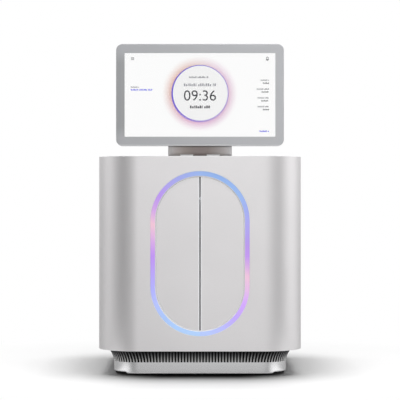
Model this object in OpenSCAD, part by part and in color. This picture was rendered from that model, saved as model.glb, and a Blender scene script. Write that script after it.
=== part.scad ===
// Benchtop sequencer: a cabinet on a vented plinth, with a light ring round two doors,
// a reagent bay behind them, and a monitor on a tilting yoke.
// X points right, the front faces -Y, +Z is up. The origin is the bottom centre of the whole box.

/* [Cabinet] */
// Width of the cabinet over its side panels
body_w = 400; // [370:1:460]
// Depth of the cabinet from the front face to the rear corners
body_d = 430; // [410:1:500]
// Height of the cabinet panels above the plinth
body_h = 379; // [360:1:440]
// Radius of the two front corners
front_r = 80; // [64:1:88]
// Radius of the two rear corners
rear_r = 50; // [42:1:60]
// Thickness of the front shell and the side panels
wall = 2.5; // [1.5:0.5:3.5]
// Gap between neighbouring panels
panel_gap = 0.8; // [0.4:0.1:1.5]
// Distance from the front face back to the seam between front shell and side panels
seam_back = 120; // [100:1:160]
// Width of the return that each side panel folds round onto the rear
rear_return = 12; // [8:1:20]
// How far the rear panel sits in from the rear corners
rear_recess = 6; // [5:0.5:10]
// Thickness of the top cover, the base plate and the rear panel
plate_t = 3; // [2:0.5:5]
// How far the top cover sits below the rim of the panels
lid_drop = 1; // [0.5:0.5:3]

/* [Plinth and feet] */
// Height of the rubber feet
foot_h = 5; // [3:0.5:10]
// Radius of the rubber feet
foot_r = 14; // [10:1:20]
// Height of the plinth from its lower edge to the cabinet
plinth_h = 45; // [38:1:60]
// Height of the plain band of the plinth
band_h = 22; // [16:1:28]
// How far the plinth's band stands in from the cabinet
plinth_inset = 30; // [22:1:36]
// How far the vented flare grows outward above the band
flare_out = 8; // [4:1:14]
// Wall thickness of the plinth
plinth_wall = 3; // [2:0.5:5]
// Spacing of the intake slots
slot_pitch = 6; // [5:0.5:10]
// Width of an intake slot
slot_w = 3.2; // [2:0.2:4]

/* [Light ring] */
// Outer width of the light ring
ring_w = 193; // [180:0.5:210]
// Outer height of the light ring
ring_h = 320.6; // [290:0.2:330]
// Width of the lit band
ring_band = 10.3; // [8:0.1:12]
// Depth of the diffuser
lens_t = 6; // [4:0.5:7]
// Chamfer on the inner front edge of the diffuser
lens_chamfer = 2; // [1.5:0.1:2.5]
// Clearance between the diffuser and the front shell
ring_fit = 0.3; // [0.1:0.1:0.6]
// Wall of the housing that holds the diffuser
housing_wall = 1.4; // [1:0.1:1.8]
// Depth of the housing behind the front face
housing_d = 11.5; // [10.5:0.5:12.5]

/* [Doors] */
// Clearance between a door and the light ring
door_gap = 1.2; // [1:0.1:2]
// Gap between the two doors
door_seam = 3; // [2:0.5:5]
// How far the doors sit behind the front face
door_recess = 2.5; // [2:0.5:3]
// Thickness of a door's outer skin
skin_t = 3; // [2:0.5:4]
// Thickness of a door's inner liner
liner_t = 9; // [7:0.5:12]
// How far the liner stands in from the skin's edge
liner_inset = 4; // [3:0.5:6]

/* [Door hinges] */
// Distance from the light ring's outer edge out to the hinge pin
pivot_out = 7.5; // [7:0.5:9]
// Distance from the front face back to the hinge pin
pivot_back = 7; // [6.5:0.5:7.5]
// Radius of the hinge pins
pin_r = 2; // [1.5:0.1:2.5]
// Radial running clearance on pins and shafts
run_fit = 0.05; // [0.02:0.01:0.08]
// Radius of the arm's knuckle
knuckle_r = 4; // [3.5:0.1:4.3]
// Height of the arm's knuckle
knuckle_h = 12; // [10:1:16]
// Height of a door arm
arm_h = 10; // [8:1:12]
// Width of a door arm's hook
arm_w = 6; // [4:0.5:7]
// Width of the link between the knuckle and the hook
link_w = 5; // [4:0.5:5.5]
// Height between the two hinges of a door
hinge_spread = 90; // [80:1:120]
// Clearance between moving parts of the hinges and what they pass
swing_gap = 2.5; // [2:0.1:3]
// Thickness of the lugs that hold a hinge pin
lug_t = 6; // [4:0.5:8]

/* [Monitor] */
// Width of the monitor
mon_w = 327; // [300:1:360]
// Height of the monitor
mon_h = 199; // [180:1:220]
// Depth of the monitor
mon_t = 25; // [22:1:32]
// Corner radius of the monitor
mon_r = 12.5; // [6:0.5:20]
// Width of the frame round the screen
bezel_w = 16.5; // [12:0.5:20]
// Gap between the cabinet's top and the monitor's lower edge
mon_gap = 20; // [20:1:30]
// How far the screen stands behind the cabinet's front face
mon_setback = 20; // [10:1:40]
// Wall thickness of the monitor's casing
mon_wall = 2; // [1.5:0.5:3]
// Width of the tilting yoke
yoke_w = 125; // [110:1:150]
// Radius of the yoke's barrel and its rounded ends
yoke_r = 11; // [10:0.5:12]
// Radius of the tilt shaft
shaft_r = 4; // [3:0.5:5]
// Width of a lug of the hinge base
base_lug_w = 24; // [18:1:28]
// Distance between the inner faces of the two lugs
base_lug_gap = 28; // [20:1:34]
// Side clearance between the lugs and the yoke
side_gap = 0.6; // [0.3:0.1:1]

/* [Reagent bay] */
// Inner width of the bay
bay_w = 140; // [130:1:140]
// Inner height of the bay
bay_h = 220; // [200:1:220]
// Inner depth of the bay behind its bezel
bay_d = 160; // [150:1:180]
// Wall thickness of the bay liner
bay_wall = 2; // [1.5:0.5:2.5]
// Thickness of the shelf between the lower and the upper compartment
shelf_t = 3; // [2:0.5:5]
// Width of the cartridge tray
tray_w = 112; // [100:1:116]
// Depth of the cartridge tray
tray_d = 92; // [80:1:96]
// Height of the tray's side walls
tray_h = 46; // [30:1:56]
// Travel of the cartridge tray
tray_travel = 50; // [20:1:50]
// Width of the stage carriage
stage_w = 100; // [90:1:110]
// Depth of the stage carriage
stage_d = 84; // [70:1:86]
// Travel of the stage carriage
stage_travel = 40; // [20:1:44]
// Radius of both lead screws
screw_r = 3; // [2.5:0.5:4]

/* [Inside] */
// Radius of the objective's barrel
objective_r = 14; // [10:0.5:16]
// Focus travel of the objective, up and down
focus = 3; // [1:0.5:4]
// Side of the square drive motors
motor_w = 35; // [28:1:38]
// Length of the drive motors
motor_l = 32; // [24:1:36]
// Side of the square chassis posts
post_w = 16; // [12:1:20]
// Inner radius of the syringe barrel
syringe_r = 6; // [5:0.5:8]
// Stroke of the syringe plunger
stroke = 45; // [20:1:50]
// Side of the square cooling fans
fan_w = 80; // [70:1:84]
// Depth of the cooling fans
fan_t = 25; // [20:1:30]
// Number of fan blades
blades = 7; // [5:1:9]
// Thickness of the circuit boards
board_t = 1.6; // [1:0.2:2.4]

/* [Hidden] */
$fn = 96;
e = 0.01;
big = 1000;
front_y = -body_d / 2;
back_y = body_d / 2;
plinth_z = foot_h;
shell_z = foot_h + plinth_h;
top_z = shell_z + body_h;
ring_z = shell_z + body_h / 2;
in_w = body_w / 2 - wall;
seam_y = front_y + seam_back;
return_x = body_w / 2 - rear_r - rear_return;
rear_y = back_y - rear_recess;
floor_z = shell_z + plate_t;
lid_z = top_z - lid_drop - plate_t;

ring_r = ring_w / 2;
ring_ir = ring_r - ring_band;
ring_c = ring_h / 2 - ring_r;
housing_r = ring_r + ring_fit + housing_wall;
housing_y = front_y + housing_d;
led_t = 1.6;

door_r = ring_ir - door_gap;
door_y = front_y + door_recess;
liner_y = door_y + skin_t;
door_back = liner_y + liner_t;
panel_margin = 24;
panel_depth = 4;

pivot_x = ring_r + pivot_out;
pivot_y = front_y + pivot_back;
hook_ri = norm([pivot_x - ring_ir, housing_y - pivot_y]) + swing_gap;
hook_exit = 10;
hook_start = hook_exit - asin(link_w / 2 / hook_ri) - 1;
link_x = sqrt(pow(knuckle_r, 2) - pow(link_w / 2, 2)) - 0.4;
pad_t = 3;
pad_w = 22;
pad_h = 24;
pad_x = pivot_x - hook_ri + 2 - pad_w;
hook_end = 180 - asin((door_back - pivot_y + pad_t / 2) / (hook_ri + arm_w / 2));
hinge_zs = [ring_z - hinge_spread / 2, ring_z + hinge_spread / 2];
lug_gap = 0.3;
lug_w = 15;

mon_y = front_y + mon_setback;
mon_z = top_z + mon_gap;
mon_back = mon_y + mon_t;
bezel_t = 10;
glass_t = 1.6;
glass_fit = 0.3;
glass_in = 0.4;
display_t = 6;
display_lip = 3;
axis_y = mon_back + yoke_r / 2;
axis_z = top_z + 1 + yoke_r;
lug_r = yoke_r - 3;
lug_x = base_lug_gap / 2;
pocket_x = lug_x - side_gap;
pocket_w = base_lug_w + 2 * side_gap;
shaft_l = yoke_w - 2 * yoke_r + 14;

bezel_y = door_back + pad_t + 1.5;
bay_bezel_t = 3;
bay_y = bezel_y + bay_bezel_t;
bay_back = bay_y + bay_d;
bay_z = ring_z - bay_h / 2;
bay_top = ring_z + bay_h / 2;
shelf_z = ring_z - shelf_t / 2;

rail_w = 8;
rail_h = 7;
rail_l = bay_d - 20;
slide_gap = 0.3;
stop_gap = 10;
tray_y = bay_y + stop_gap + tray_travel;
tray_t = 4;
tray_rail_x = tray_w / 2 - 14;
tray_z = bay_z + rail_h + slide_gap;
tray_screw_z = bay_z + motor_w / 2 - bay_wall + 1;
tray_floor = tray_screw_z + screw_r + 4;
stage_y = bay_y + stop_gap + 2 + stage_travel;
stage_t = 8;
stage_rail_x = stage_w / 2 - 14;
stage_screw_z = shelf_z + shelf_t + rail_h;
stage_z = stage_screw_z + screw_r + 2;
stage_top = stage_z + stage_t;
clamp_h = 6;
motor_y = bay_back + bay_wall;
optic_y = stage_y + stage_d / 2;

deck_z = bay_z - bay_wall - plate_t;
deck_x = in_w - 12;
optics_z = bay_top + bay_wall + 4;
optics_t = 8;
post_x = body_w / 2 - 64;
post_ys = [front_y + 66, back_y - 66];
optics_w = 2 * post_x + 28;
optics_y = front_y + 50;
optics_d = body_d - 104;

pump_x = -post_x - 16;
pump_y = -30;
pump_z = deck_z + plate_t;
barrel_l = 80;
barrel_z = pump_z + 92;
syringe_y = pump_y - 44;
valve_z = barrel_z + barrel_l + 16;
tube_r = 1.6;
screw_shank_r = 1.5;
fan_x = fan_w / 2 + 12;
fan_z = top_z - 96;
fan_r = fan_w / 2 - 3;
hub_r = 15;
axle_r = 3;
inlet_x = return_x - 38;
inlet_z = floor_z + 36;
switch_x = inlet_x - 44;
ports_x = 50 - return_x;
ports_z = floor_z + 70;
stud_r = 3;
foot_x = body_w / 2 - plinth_inset - 34;
foot_ys = [front_y + plinth_inset + 40, back_y - plinth_inset - 40];

// ---- Shared outlines ----

// Plan of the cabinet, set in by a distance all round.
module plan(inset = 0) {
    rf = front_r - inset;
    rr = rear_r - inset;
    w = body_w / 2 - inset;
    yf = front_y + inset;
    yr = back_y - inset;
    translate([-w, yf + rf]) square([2 * w, yr - rr - yf - rf]);
    translate([rf - w, yf]) square([2 * (w - rf), rf + e]);
    translate([rr - w, yr - rr - e]) square([2 * (w - rr), rr + e]);
    for (s = [-1, 1]) {
        translate([s * (w - rf), yf + rf]) circle(rf);
        translate([s * (w - rr), yr - rr]) circle(rr);
    }
}

// Wall of the cabinet between two levels.
module casing_ring(z, h) {
    translate([0, 0, z]) linear_extrude(h) difference() {
        plan();
        plan(wall);
    }
}

// Upright stadium with round ends, centred on the light ring.
module stadium(r) {
    translate([-r, -ring_c]) square([2 * r, 2 * ring_c]);
    for (s = [-1, 1]) translate([0, s * ring_c]) circle(r);
}

// Upright plate facing front, from a drawing centred on the light ring.
module upright(y, t) {
    translate([0, y + t, ring_z]) rotate([90, 0, 0]) linear_extrude(t) children();
}

// Sweep of a profile round the stadium: profile x is the radius, y the depth behind the front.
module ring_sweep() {
    for (s = [0, 180]) rotate([0, s, 0]) {
        translate([0, 0, -ring_c]) rotate([-90, 0, 0]) rotate_extrude(angle = 180) children();
        translate([0, 0, -ring_c]) linear_extrude(2 * ring_c) children();
    }
}

module at_ring() {
    translate([0, front_y, ring_z]) children();
}

module round_rect(w, h, r) {
    translate([-w / 2 + r, -h / 2]) square([w - 2 * r, h]);
    translate([-w / 2, -h / 2 + r]) square([w, h - 2 * r]);
    for (x = [-1, 1], z = [-1, 1]) translate([x * (w / 2 - r), z * (h / 2 - r)]) circle(r);
}

// Cylinder along +X or +Y, starting at the origin.
module rod_x(r, l) {
    rotate([0, 90, 0]) cylinder(r = r, h = l);
}

module rod_y(r, l) {
    rotate([-90, 0, 0]) cylinder(r = r, h = l);
}

// Box that is centred in X and Z, and starts at the origin in Y.
module block(w, d, h) {
    translate([-w / 2, 0, -h / 2]) cube([w, d, h]);
}

// ---- Cabinet ----

module front_shell() {
    color("gainsboro") difference() {
        casing_ring(shell_z, body_h);
        translate([-big / 2, seam_y - panel_gap / 2, 0]) cube([big, big, big]);
        upright(front_y - 1, wall + 2) stadium(ring_r + ring_fit);
    }
}

module side_panel(s) {
    color("gainsboro") intersection() {
        casing_ring(shell_z, body_h);
        translate([s > 0 ? return_x : -return_x - big, seam_y + panel_gap / 2, 0])
            cube([big, big, big]);
    }
}

module fan_grille() {
    for (k = [1:4]) difference() {
        rod_y(hub_r + k * 5.5, plate_t + 2);
        translate([0, -1, 0]) rod_y(hub_r + k * 5.5 - 4, plate_t + 4);
        for (a = [45, 135]) rotate([0, a, 0]) translate([0, -1, 0]) block(2 * fan_r, plate_t + 4, 3);
    }
}

module rear_panel() {
    color("silver") difference() {
        translate([-return_x - 6, rear_y - plate_t, floor_z])
            cube([2 * return_x + 12, plate_t, lid_z - floor_z]);
        for (s = [-1, 1]) translate([s * fan_x, rear_y - plate_t - 1, fan_z]) fan_grille();
        at_case_screws() translate([0, -plate_t - 1, 0]) rod_y(screw_shank_r, plate_t + 2);
        translate([inlet_x, rear_y - 20, inlet_z]) block(50, 40, 30);
        translate([switch_x, rear_y - 20, inlet_z]) block(24, 40, 30);
        translate([ports_x, rear_y - 20, ports_z]) block(29, 40, 64);
    }
}

module top_cover() {
    color("gainsboro") {
        translate([0, 0, lid_z]) linear_extrude(plate_t) plan(wall + panel_gap / 2);
        translate([0, 0, lid_z - 8]) linear_extrude(8) difference() {
            plan(wall + panel_gap / 2);
            plan(2 * wall + panel_gap / 2);
            translate([-return_x - 8, back_y - 30]) square([2 * return_x + 16, 40]);
        }
    }
}

// ---- Plinth and feet ----

module plinth() {
    color("silver") {
        translate([0, 0, plinth_z]) linear_extrude(band_h) difference() {
            plan(plinth_inset);
            plan(plinth_inset + plinth_wall);
        }
        translate([0, 0, plinth_z]) linear_extrude(plinth_wall) difference() {
            plan(plinth_inset + 1);
            for (x = [-1, 1], y = foot_ys) translate([x * foot_x, y]) circle(stud_r);
        }
        translate([0, 0, plinth_z + band_h]) linear_extrude(plinth_h - band_h) difference() {
            plan(plinth_inset + plinth_wall);
            plan(plinth_inset + 2 * plinth_wall);
        }
        translate([0, 0, plinth_z + band_h - 3]) linear_extrude(3) difference() {
            plan(plinth_inset + 1);
            plan(plinth_inset + 2 * plinth_wall);
        }
        for (x = [-1, 1], y = foot_ys) translate([x * foot_x, y, plinth_z]) difference() {
            translate([-foot_r, -foot_r, 0]) cube([2 * foot_r, 2 * foot_r, plinth_h]);
            translate([0, 0, -1]) cylinder(r = stud_r, h = 12);
        }
    }
}

// Half the outline of one fin of the flare: x is outward, y is up.
function flare_points(n = 4) = concat(
    [[-plinth_wall, 0]],
    [for (k = [0:n]) [flare_out * (1 - cos(90 * k / n)), (plinth_h - band_h) * sin(90 * k / n)]],
    [[-plinth_wall, plinth_h - band_h]]
);

module fin(t) {
    rotate([90, 0, 0]) linear_extrude(t, center = true) polygon(flare_points());
}

// Fins stand on the plinth's outline, and two thin rails tie them together.
module intake_grille() {
    x0 = body_w / 2 - plinth_inset;
    r = front_r - plinth_inset;
    rr = rear_r - plinth_inset;
    fin_t = slot_pitch - slot_w;
    half_front = floor((x0 - r) / slot_pitch);
    side_l = body_d - front_r - rear_r;
    side_n = floor(side_l / slot_pitch);
    corner_n = floor(r * PI / 2 / slot_pitch);
    color("darkgray") {
        translate([0, 0, plinth_z + band_h]) {
            for (k = [-half_front:half_front])
                translate([k * slot_pitch, front_y + plinth_inset, 0]) rotate([0, 0, -90]) fin(fin_t);
            for (s = [-1, 1], k = [0:side_n])
                translate([s * x0, front_y + front_r + k * slot_pitch, 0])
                    rotate([0, 0, s > 0 ? 0 : 180]) fin(fin_t);
            for (s = [-1, 1], k = [1:corner_n])
                translate([s * (x0 - r), front_y + front_r, 0])
                    rotate([0, 0, s > 0 ? -90 * k / (corner_n + 1) : 180 + 90 * k / (corner_n + 1)])
                        translate([r, 0, 0]) fin(fin_t);
        }
        for (z = [plinth_z + band_h, shell_z - 2]) translate([0, 0, z]) linear_extrude(2) difference() {
            plan(plinth_inset - (z > shell_z - 3 ? flare_out - 1 : -1));
            plan(plinth_inset + plinth_wall);
        }
    }
}

module base_plate() {
    color("dimgray") translate([0, 0, shell_z]) linear_extrude(plate_t) plan(wall + panel_gap / 2);
}

module rubber_feet() {
    color([0.08, 0.08, 0.09]) for (x = [-1, 1], y = foot_ys) translate([x * foot_x, y, 0]) {
        cylinder(r = foot_r, h = foot_h);
        cylinder(r = stud_r, h = foot_h + 8);
    }
}

// ---- Chassis ----

module chassis_frame() {
    color("lightsteelblue") difference() {
        union() {
            for (x = [-1, 1], y = post_ys) translate([x * post_x - post_w / 2, y - post_w / 2, floor_z])
                cube([post_w, post_w, optics_z - floor_z]);
            translate([-deck_x, post_ys[0] - post_w / 2, deck_z])
                cube([2 * deck_x, post_ys[1] - post_ys[0] + post_w, plate_t]);
        }
        for (x = [-1, 1], y = post_ys) translate([x * post_x, y, floor_z - 1])
            cylinder(r = 2.5, h = 16);
    }
}

module at_case_screws() {
    for (x = [-1, 1], z = [floor_z + 14, ring_z, lid_z - 16])
        translate([x * (return_x - 8), rear_y, z]) children();
}

module case_screws() {
    color("darkgray") at_case_screws() {
        rod_y(3, 2);
        translate([0, -7, 0]) rod_y(screw_shank_r, 7);
    }
}

// ---- Light ring ----

module ring_lens() {
    color([0.8, 0.72, 1]) at_ring() ring_sweep() polygon([
        [ring_ir, lens_chamfer], [ring_ir + lens_chamfer, 0], [ring_r - 0.5, 0], [ring_r, 0.5],
        [ring_r, lens_t], [ring_ir, lens_t]
    ]);
}

module ring_led_board() {
    color("darkgreen") at_ring() ring_sweep() translate([ring_ir + 2, housing_d - 1.5 - led_t])
        square([ring_band - 4, led_t]);
}

module ring_housing() {
    color("dimgray") at_ring() {
        ring_sweep() union() {
            translate([ring_ir, housing_d - 1.5]) square([housing_r - ring_ir, 1.5]);
            translate([housing_r - housing_wall, wall]) square([housing_wall, housing_d - wall]);
            translate([ring_ir, lens_t]) square([1.2, housing_d - lens_t]);
        }
        for (s = [-1, 1], a = [50, 130]) translate([0, wall, s * ring_c]) rotate([0, -s * a, 0])
            translate([housing_r + 6, 0, 0]) difference() {
                union() {
                    rod_y(7, 3);
                    translate([-6.5, 0, -7]) cube([6.5, 3, 14]);
                }
                translate([0, -1, 0]) rod_y(1.6, 5);
            }
    }
}

// ---- Doors: drawn on the right, mirrored for the left ----

module on_side(s) {
    if (s > 0) children();
    else mirror([1, 0, 0]) children();
}

module half_stadium(r, inner) {
    intersection() {
        stadium(r);
        translate([inner, -big / 2]) square([big / 2, big]);
    }
}

module door_skin(s) {
    color("gainsboro") on_side(s) upright(door_y, skin_t) half_stadium(door_r, door_seam / 2);
}

module door_liner(s) {
    color("darkgray") on_side(s) difference() {
        upright(liner_y, liner_t) half_stadium(door_r - liner_inset, door_seam / 2);
        upright(door_back - panel_depth, panel_depth + 1)
            half_stadium(door_r - liner_inset - panel_margin, door_seam / 2 + 12);
    }
}

// One hook-shaped arm with its knuckle on the hinge axis at the origin.
module door_arm() {
    difference() {
        union() {
            cylinder(r = knuckle_r, h = knuckle_h, center = true);
            rotate([0, 0, hook_exit]) translate([link_x, -link_w / 2, -arm_h / 2])
                cube([hook_ri + arm_w / 2 - link_x, link_w, arm_h]);
            rotate([0, 0, hook_start]) rotate_extrude(angle = hook_end - hook_start)
                translate([hook_ri, -arm_h / 2]) square([arm_w, arm_h]);
            translate([pad_x - pivot_x, door_back - pivot_y, -pad_h / 2]) cube([pad_w, pad_t, pad_h]);
        }
        translate([0, 0, -knuckle_h]) cylinder(r = pin_r + run_fit, h = 2 * knuckle_h);
        for (z = [-1, 1]) translate([pad_x - pivot_x + 7, door_back - pivot_y - 1, z * 7])
            rod_y(1.7, pad_t + 2);
    }
}

module door_arms(s) {
    color("slategray") on_side(s) for (z = hinge_zs) translate([pivot_x, pivot_y, z]) door_arm();
}

module hinge_lugs() {
    lug_z = knuckle_h / 2 + lug_gap;
    color("gray") for (s = [-1, 1], z = hinge_zs, up = [0, 1]) on_side(s)
        translate([0, 0, z + (up ? lug_z : -lug_z - lug_t)]) difference() {
            translate([housing_r + 0.6, front_y + wall, 0])
                cube([lug_w, pivot_back - wall + knuckle_r + 1, lug_t]);
            translate([pivot_x, pivot_y, -1]) cylinder(r = pin_r, h = lug_t + 2);
        }
}

module hinge_pins() {
    l = knuckle_h + 2 * lug_gap + 2 * lug_t;
    color("silver") for (s = [-1, 1], z = hinge_zs)
        translate([s * pivot_x, pivot_y, z - l / 2]) cylinder(r = pin_r, h = l);
}

module door_magnets() {
    color("darkgray") for (x = [-1, 1], z = [-1, 1])
        translate([x * 14, bezel_y - 3, ring_z + z * (bay_h / 2 + 14)]) rod_y(5, 3);
}

// ---- Monitor ----

module monitor_plate(y, t) {
    translate([0, y + t, mon_z + mon_h / 2]) rotate([90, 0, 0]) linear_extrude(t) children();
}

module screen_outline(grow, r) {
    round_rect(mon_w - 2 * bezel_w + 2 * grow, mon_h - 2 * bezel_w + 2 * grow, r);
}

module monitor_bezel() {
    color([0.66, 0.67, 0.68]) difference() {
        monitor_plate(mon_y, bezel_t) round_rect(mon_w, mon_h, mon_r);
        monitor_plate(mon_y - 1, bezel_t + 2) screen_outline(0, 1);
        monitor_plate(mon_y + glass_in + glass_t, bezel_t) screen_outline(display_lip + glass_fit, 1);
    }
}

module monitor_glass() {
    color([0.95, 0.96, 0.97]) monitor_plate(mon_y + glass_in, glass_t) screen_outline(-glass_fit, 1);
}

module display_panel() {
    color("black") monitor_plate(mon_y + glass_in + glass_t, display_t) screen_outline(display_lip, 1);
}

module monitor_back() {
    y = mon_y + bezel_t;
    color([0.6, 0.61, 0.63]) difference() {
        monitor_plate(y, mon_t - bezel_t) round_rect(mon_w, mon_h, mon_r);
        monitor_plate(y - 1, mon_t - bezel_t - mon_wall + 1)
            round_rect(mon_w - 2 * mon_wall, mon_h - 2 * mon_wall, mon_r - mon_wall);
        for (k = [-8:8]) translate([k * 8, mon_back - 2 * mon_wall, mon_z + mon_h - 24])
            block(3, 3 * mon_wall, 14);
    }
}

module monitor_board() {
    color("darkgreen") translate([-60, mon_y + bezel_t + 3, mon_z + 50]) cube([120, board_t, 70]);
    color("black") for (x = [-30, 20], z = [70, 95])
        translate([x, mon_y + bezel_t + 3 + board_t, mon_z + z]) cube([16, 2, 12]);
}

module yoke_plan() {
    translate([-yoke_w / 2 + yoke_r, -yoke_r]) square([yoke_w - 2 * yoke_r, 2 * yoke_r]);
    for (s = [-1, 1]) translate([s * (yoke_w / 2 - yoke_r), 0]) circle(yoke_r);
}

// The barrel has round ends in plan and a round underside, so that it clears the cabinet.
module yoke_barrel() {
    top = mon_z - 0.6;
    translate([0, axis_y, axis_z]) linear_extrude(top - axis_z) yoke_plan();
    intersection() {
        translate([0, axis_y, axis_z - yoke_r]) linear_extrude(yoke_r + e) yoke_plan();
        translate([-yoke_w / 2, axis_y, axis_z]) rod_x(yoke_r, yoke_w);
    }
}

module monitor_yoke() {
    neck_w = 92;
    neck_t = yoke_r + 3;
    neck_h = 96;
    color([0.52, 0.49, 0.48]) difference() {
        union() {
            yoke_barrel();
            translate([-neck_w / 2, mon_back, axis_z + 2]) cube([neck_w, neck_t, neck_h]);
        }
        translate([-shaft_l / 2, axis_y, axis_z]) rod_x(shaft_r, shaft_l);
        for (s = [0, 1]) translate([s ? pocket_x : -pocket_x - pocket_w, 0, 0]) {
            translate([0, axis_y, axis_z]) rod_x(lug_r + 1, pocket_w);
            translate([0, axis_y, top_z]) cube([pocket_w, yoke_r + 10, axis_z - top_z + lug_r - 2]);
            translate([0, axis_y - yoke_r - 1, top_z]) cube([pocket_w, yoke_r + 1, 4.5]);
        }
    }
}

module hinge_base() {
    plate_z = top_z - lid_drop;
    stem_d = 7;
    color("silver") {
        translate([-52, axis_y - 16, plate_z]) cube([104, 32, lid_drop + 0.5]);
        for (s = [0, 1]) translate([s ? lug_x : -lug_x - base_lug_w, axis_y, 0]) difference() {
            union() {
                translate([0, 0, axis_z]) rod_x(lug_r, base_lug_w);
                translate([0, -stem_d / 2, plate_z]) cube([base_lug_w, stem_d, axis_z - plate_z]);
            }
            translate([-1, 0, axis_z]) rod_x(shaft_r + run_fit, base_lug_w + 2);
        }
    }
}

module hinge_shaft() {
    color("lightgray") translate([-shaft_l / 2, axis_y, axis_z]) rod_x(shaft_r, shaft_l);
}

// ---- Reagent bay ----

module bay_bezel() {
    notch_x = bay_w / 2 + 8;
    color([0.2, 0.21, 0.23]) difference() {
        upright(bezel_y, bay_bezel_t) stadium(ring_r - 1.5);
        upright(bezel_y - 1, bay_bezel_t + 2) square([bay_w, bay_h], center = true);
        for (s = [-1, 1], z = hinge_zs) on_side(s)
            translate([notch_x, bezel_y - 1, z - pad_h / 2 - 1]) cube([60, 8, pad_h + 2]);
    }
}

module bay_liner() {
    color([0.85, 0.86, 0.88]) difference() {
        translate([0, bay_y, ring_z])
            block(bay_w + 2 * bay_wall, bay_d + bay_wall, bay_h + 2 * bay_wall);
        translate([0, bay_y - 1, (bay_z + shelf_z) / 2]) block(bay_w, bay_d + 1, shelf_z - bay_z);
        translate([0, bay_y - 1, (bay_top + shelf_z + shelf_t) / 2])
            block(bay_w, bay_d + 1, bay_top - shelf_z - shelf_t);
        translate([0, bay_back - 1, tray_screw_z]) rod_y(screw_r + 1, bay_wall + 2);
        translate([0, bay_back - 1, stage_screw_z]) rod_y(screw_r + 1, bay_wall + 2);
        translate([0, optic_y, bay_top - 1]) cylinder(r = objective_r + 2, h = bay_wall + 2);
    }
}

module bay_lamp() {
    color("white") translate([0, bay_y + 6, bay_top - 3]) block(bay_w - 30, 10, 6);
}

module rails(x, z) {
    for (s = [-1, 1]) translate([s * x - rail_w / 2, bay_y + 8, z]) cube([rail_w, rail_l, rail_h]);
}

// Front bearing of a lead screw, standing on the compartment's floor.
module screw_bearing(z, screw_z) {
    difference() {
        translate([-9, bay_y + 8, z]) cube([18, 8, screw_z - z + screw_r + 1.5]);
        translate([0, bay_y + 7, screw_z]) rod_y(screw_r + run_fit, 10);
    }
}

module tray_rails() {
    color("silver") {
        rails(tray_rail_x, bay_z);
        translate([-tray_rail_x, bay_y + 8, bay_z]) cube([2 * tray_rail_x, 8, 1.5]);
        screw_bearing(bay_z, tray_screw_z);
    }
}

module lead_screw(z) {
    y = bay_y + 9;
    translate([0, y, z]) rod_y(screw_r, motor_y - y + 4);
}

module tray_screw() {
    color("lightgray") lead_screw(tray_screw_z);
}

// The nut block hangs round the screw with running clearance, down to a lip below it.
module screw_nut(y, z_top, screw_z, lip) {
    low = screw_z - screw_r - lip;
    difference() {
        translate([-10, y, low]) cube([20, 14, z_top - low]);
        translate([0, y - 1, screw_z]) rod_y(screw_r + run_fit, 16);
    }
}

module cartridge_tray() {
    color([0.25, 0.3, 0.38]) {
        difference() {
            translate([-tray_w / 2, tray_y, tray_floor]) cube([tray_w, tray_d, tray_h]);
            translate([-tray_w / 2 + tray_t, tray_y - 1, tray_floor + tray_t])
                cube([tray_w - 2 * tray_t, tray_d - tray_t + 1, tray_h]);
        }
        for (s = [-1, 1]) translate([s * tray_rail_x - rail_w / 2, tray_y, tray_z])
            cube([rail_w, tray_d, tray_floor - tray_z]);
        screw_nut(tray_y + tray_d - 20, tray_floor, tray_screw_z, 4);
    }
}

module stage_rails() {
    z = shelf_z + shelf_t;
    color("silver") {
        rails(stage_rail_x, z);
        translate([-stage_rail_x, bay_y + 8, z]) cube([2 * stage_rail_x, 8, 1.5]);
        screw_bearing(z, stage_screw_z);
    }
}

module stage_screw() {
    color("lightgray") lead_screw(stage_screw_z);
}

module stage_carriage() {
    rail_top = shelf_z + shelf_t + rail_h + slide_gap;
    color([0.3, 0.31, 0.33]) {
        translate([-stage_w / 2, stage_y, stage_z]) cube([stage_w, stage_d, stage_t]);
        for (s = [-1, 1]) translate([s * stage_rail_x - rail_w / 2, stage_y, rail_top])
            cube([rail_w, stage_d, stage_z - rail_top]);
        screw_nut(stage_y + stage_d - 20, stage_z, stage_screw_z, 2);
    }
}

// Frame that holds a flow cell's edges on the carriage.
module flow_cell_clamp() {
    color("goldenrod") translate([0, optic_y, stage_top]) difference() {
        translate([-38, -30, 0]) cube([76, 60, clamp_h]);
        translate([-30, -22, 2]) cube([60, 44, clamp_h]);
    }
}

// ---- Optics and drives ----

module optics_base() {
    color("lightsteelblue") difference() {
        translate([-optics_w / 2, optics_y, optics_z]) cube([optics_w, optics_d, optics_t]);
        translate([0, optic_y, optics_z - 1]) cylinder(r = objective_r + 1, h = optics_t + 2);
    }
}

module objective() {
    low = stage_top + clamp_h + 6 + focus;
    color("silver") translate([0, optic_y, low]) {
        translate([0, 0, 10]) cylinder(r = objective_r, h = optics_z + optics_t + 4 - low - 10);
        cylinder(r1 = objective_r - 6, r2 = objective_r, h = 10);
    }
}

module camera_module() {
    z = optics_z + optics_t;
    h = lid_z - z - 8;
    color([0.15, 0.15, 0.17]) difference() {
        translate([-26, optic_y - 26, z]) cube([52, 52, h]);
        translate([0, optic_y, z - 1]) cylinder(r = objective_r + 2, h = 4 + 2 * focus + 6);
    }
}

module light_engine() {
    color("slategray") {
        translate([-120, 0, optics_z + optics_t]) cube([84, 70, 40]);
        for (k = [0:6]) translate([-118 + k * 12, 70, optics_z + optics_t]) cube([3, 14, 36]);
        translate([-36, 18, optics_z + optics_t + 8]) cube([24, 24, 24]);
    }
}

module drive_motor(z) {
    color([0.2, 0.2, 0.22]) translate([0, motor_y, z]) difference() {
        block(motor_w, motor_l, motor_w);
        translate([0, -1, 0]) rod_y(screw_r + run_fit, 8);
    }
}

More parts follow.
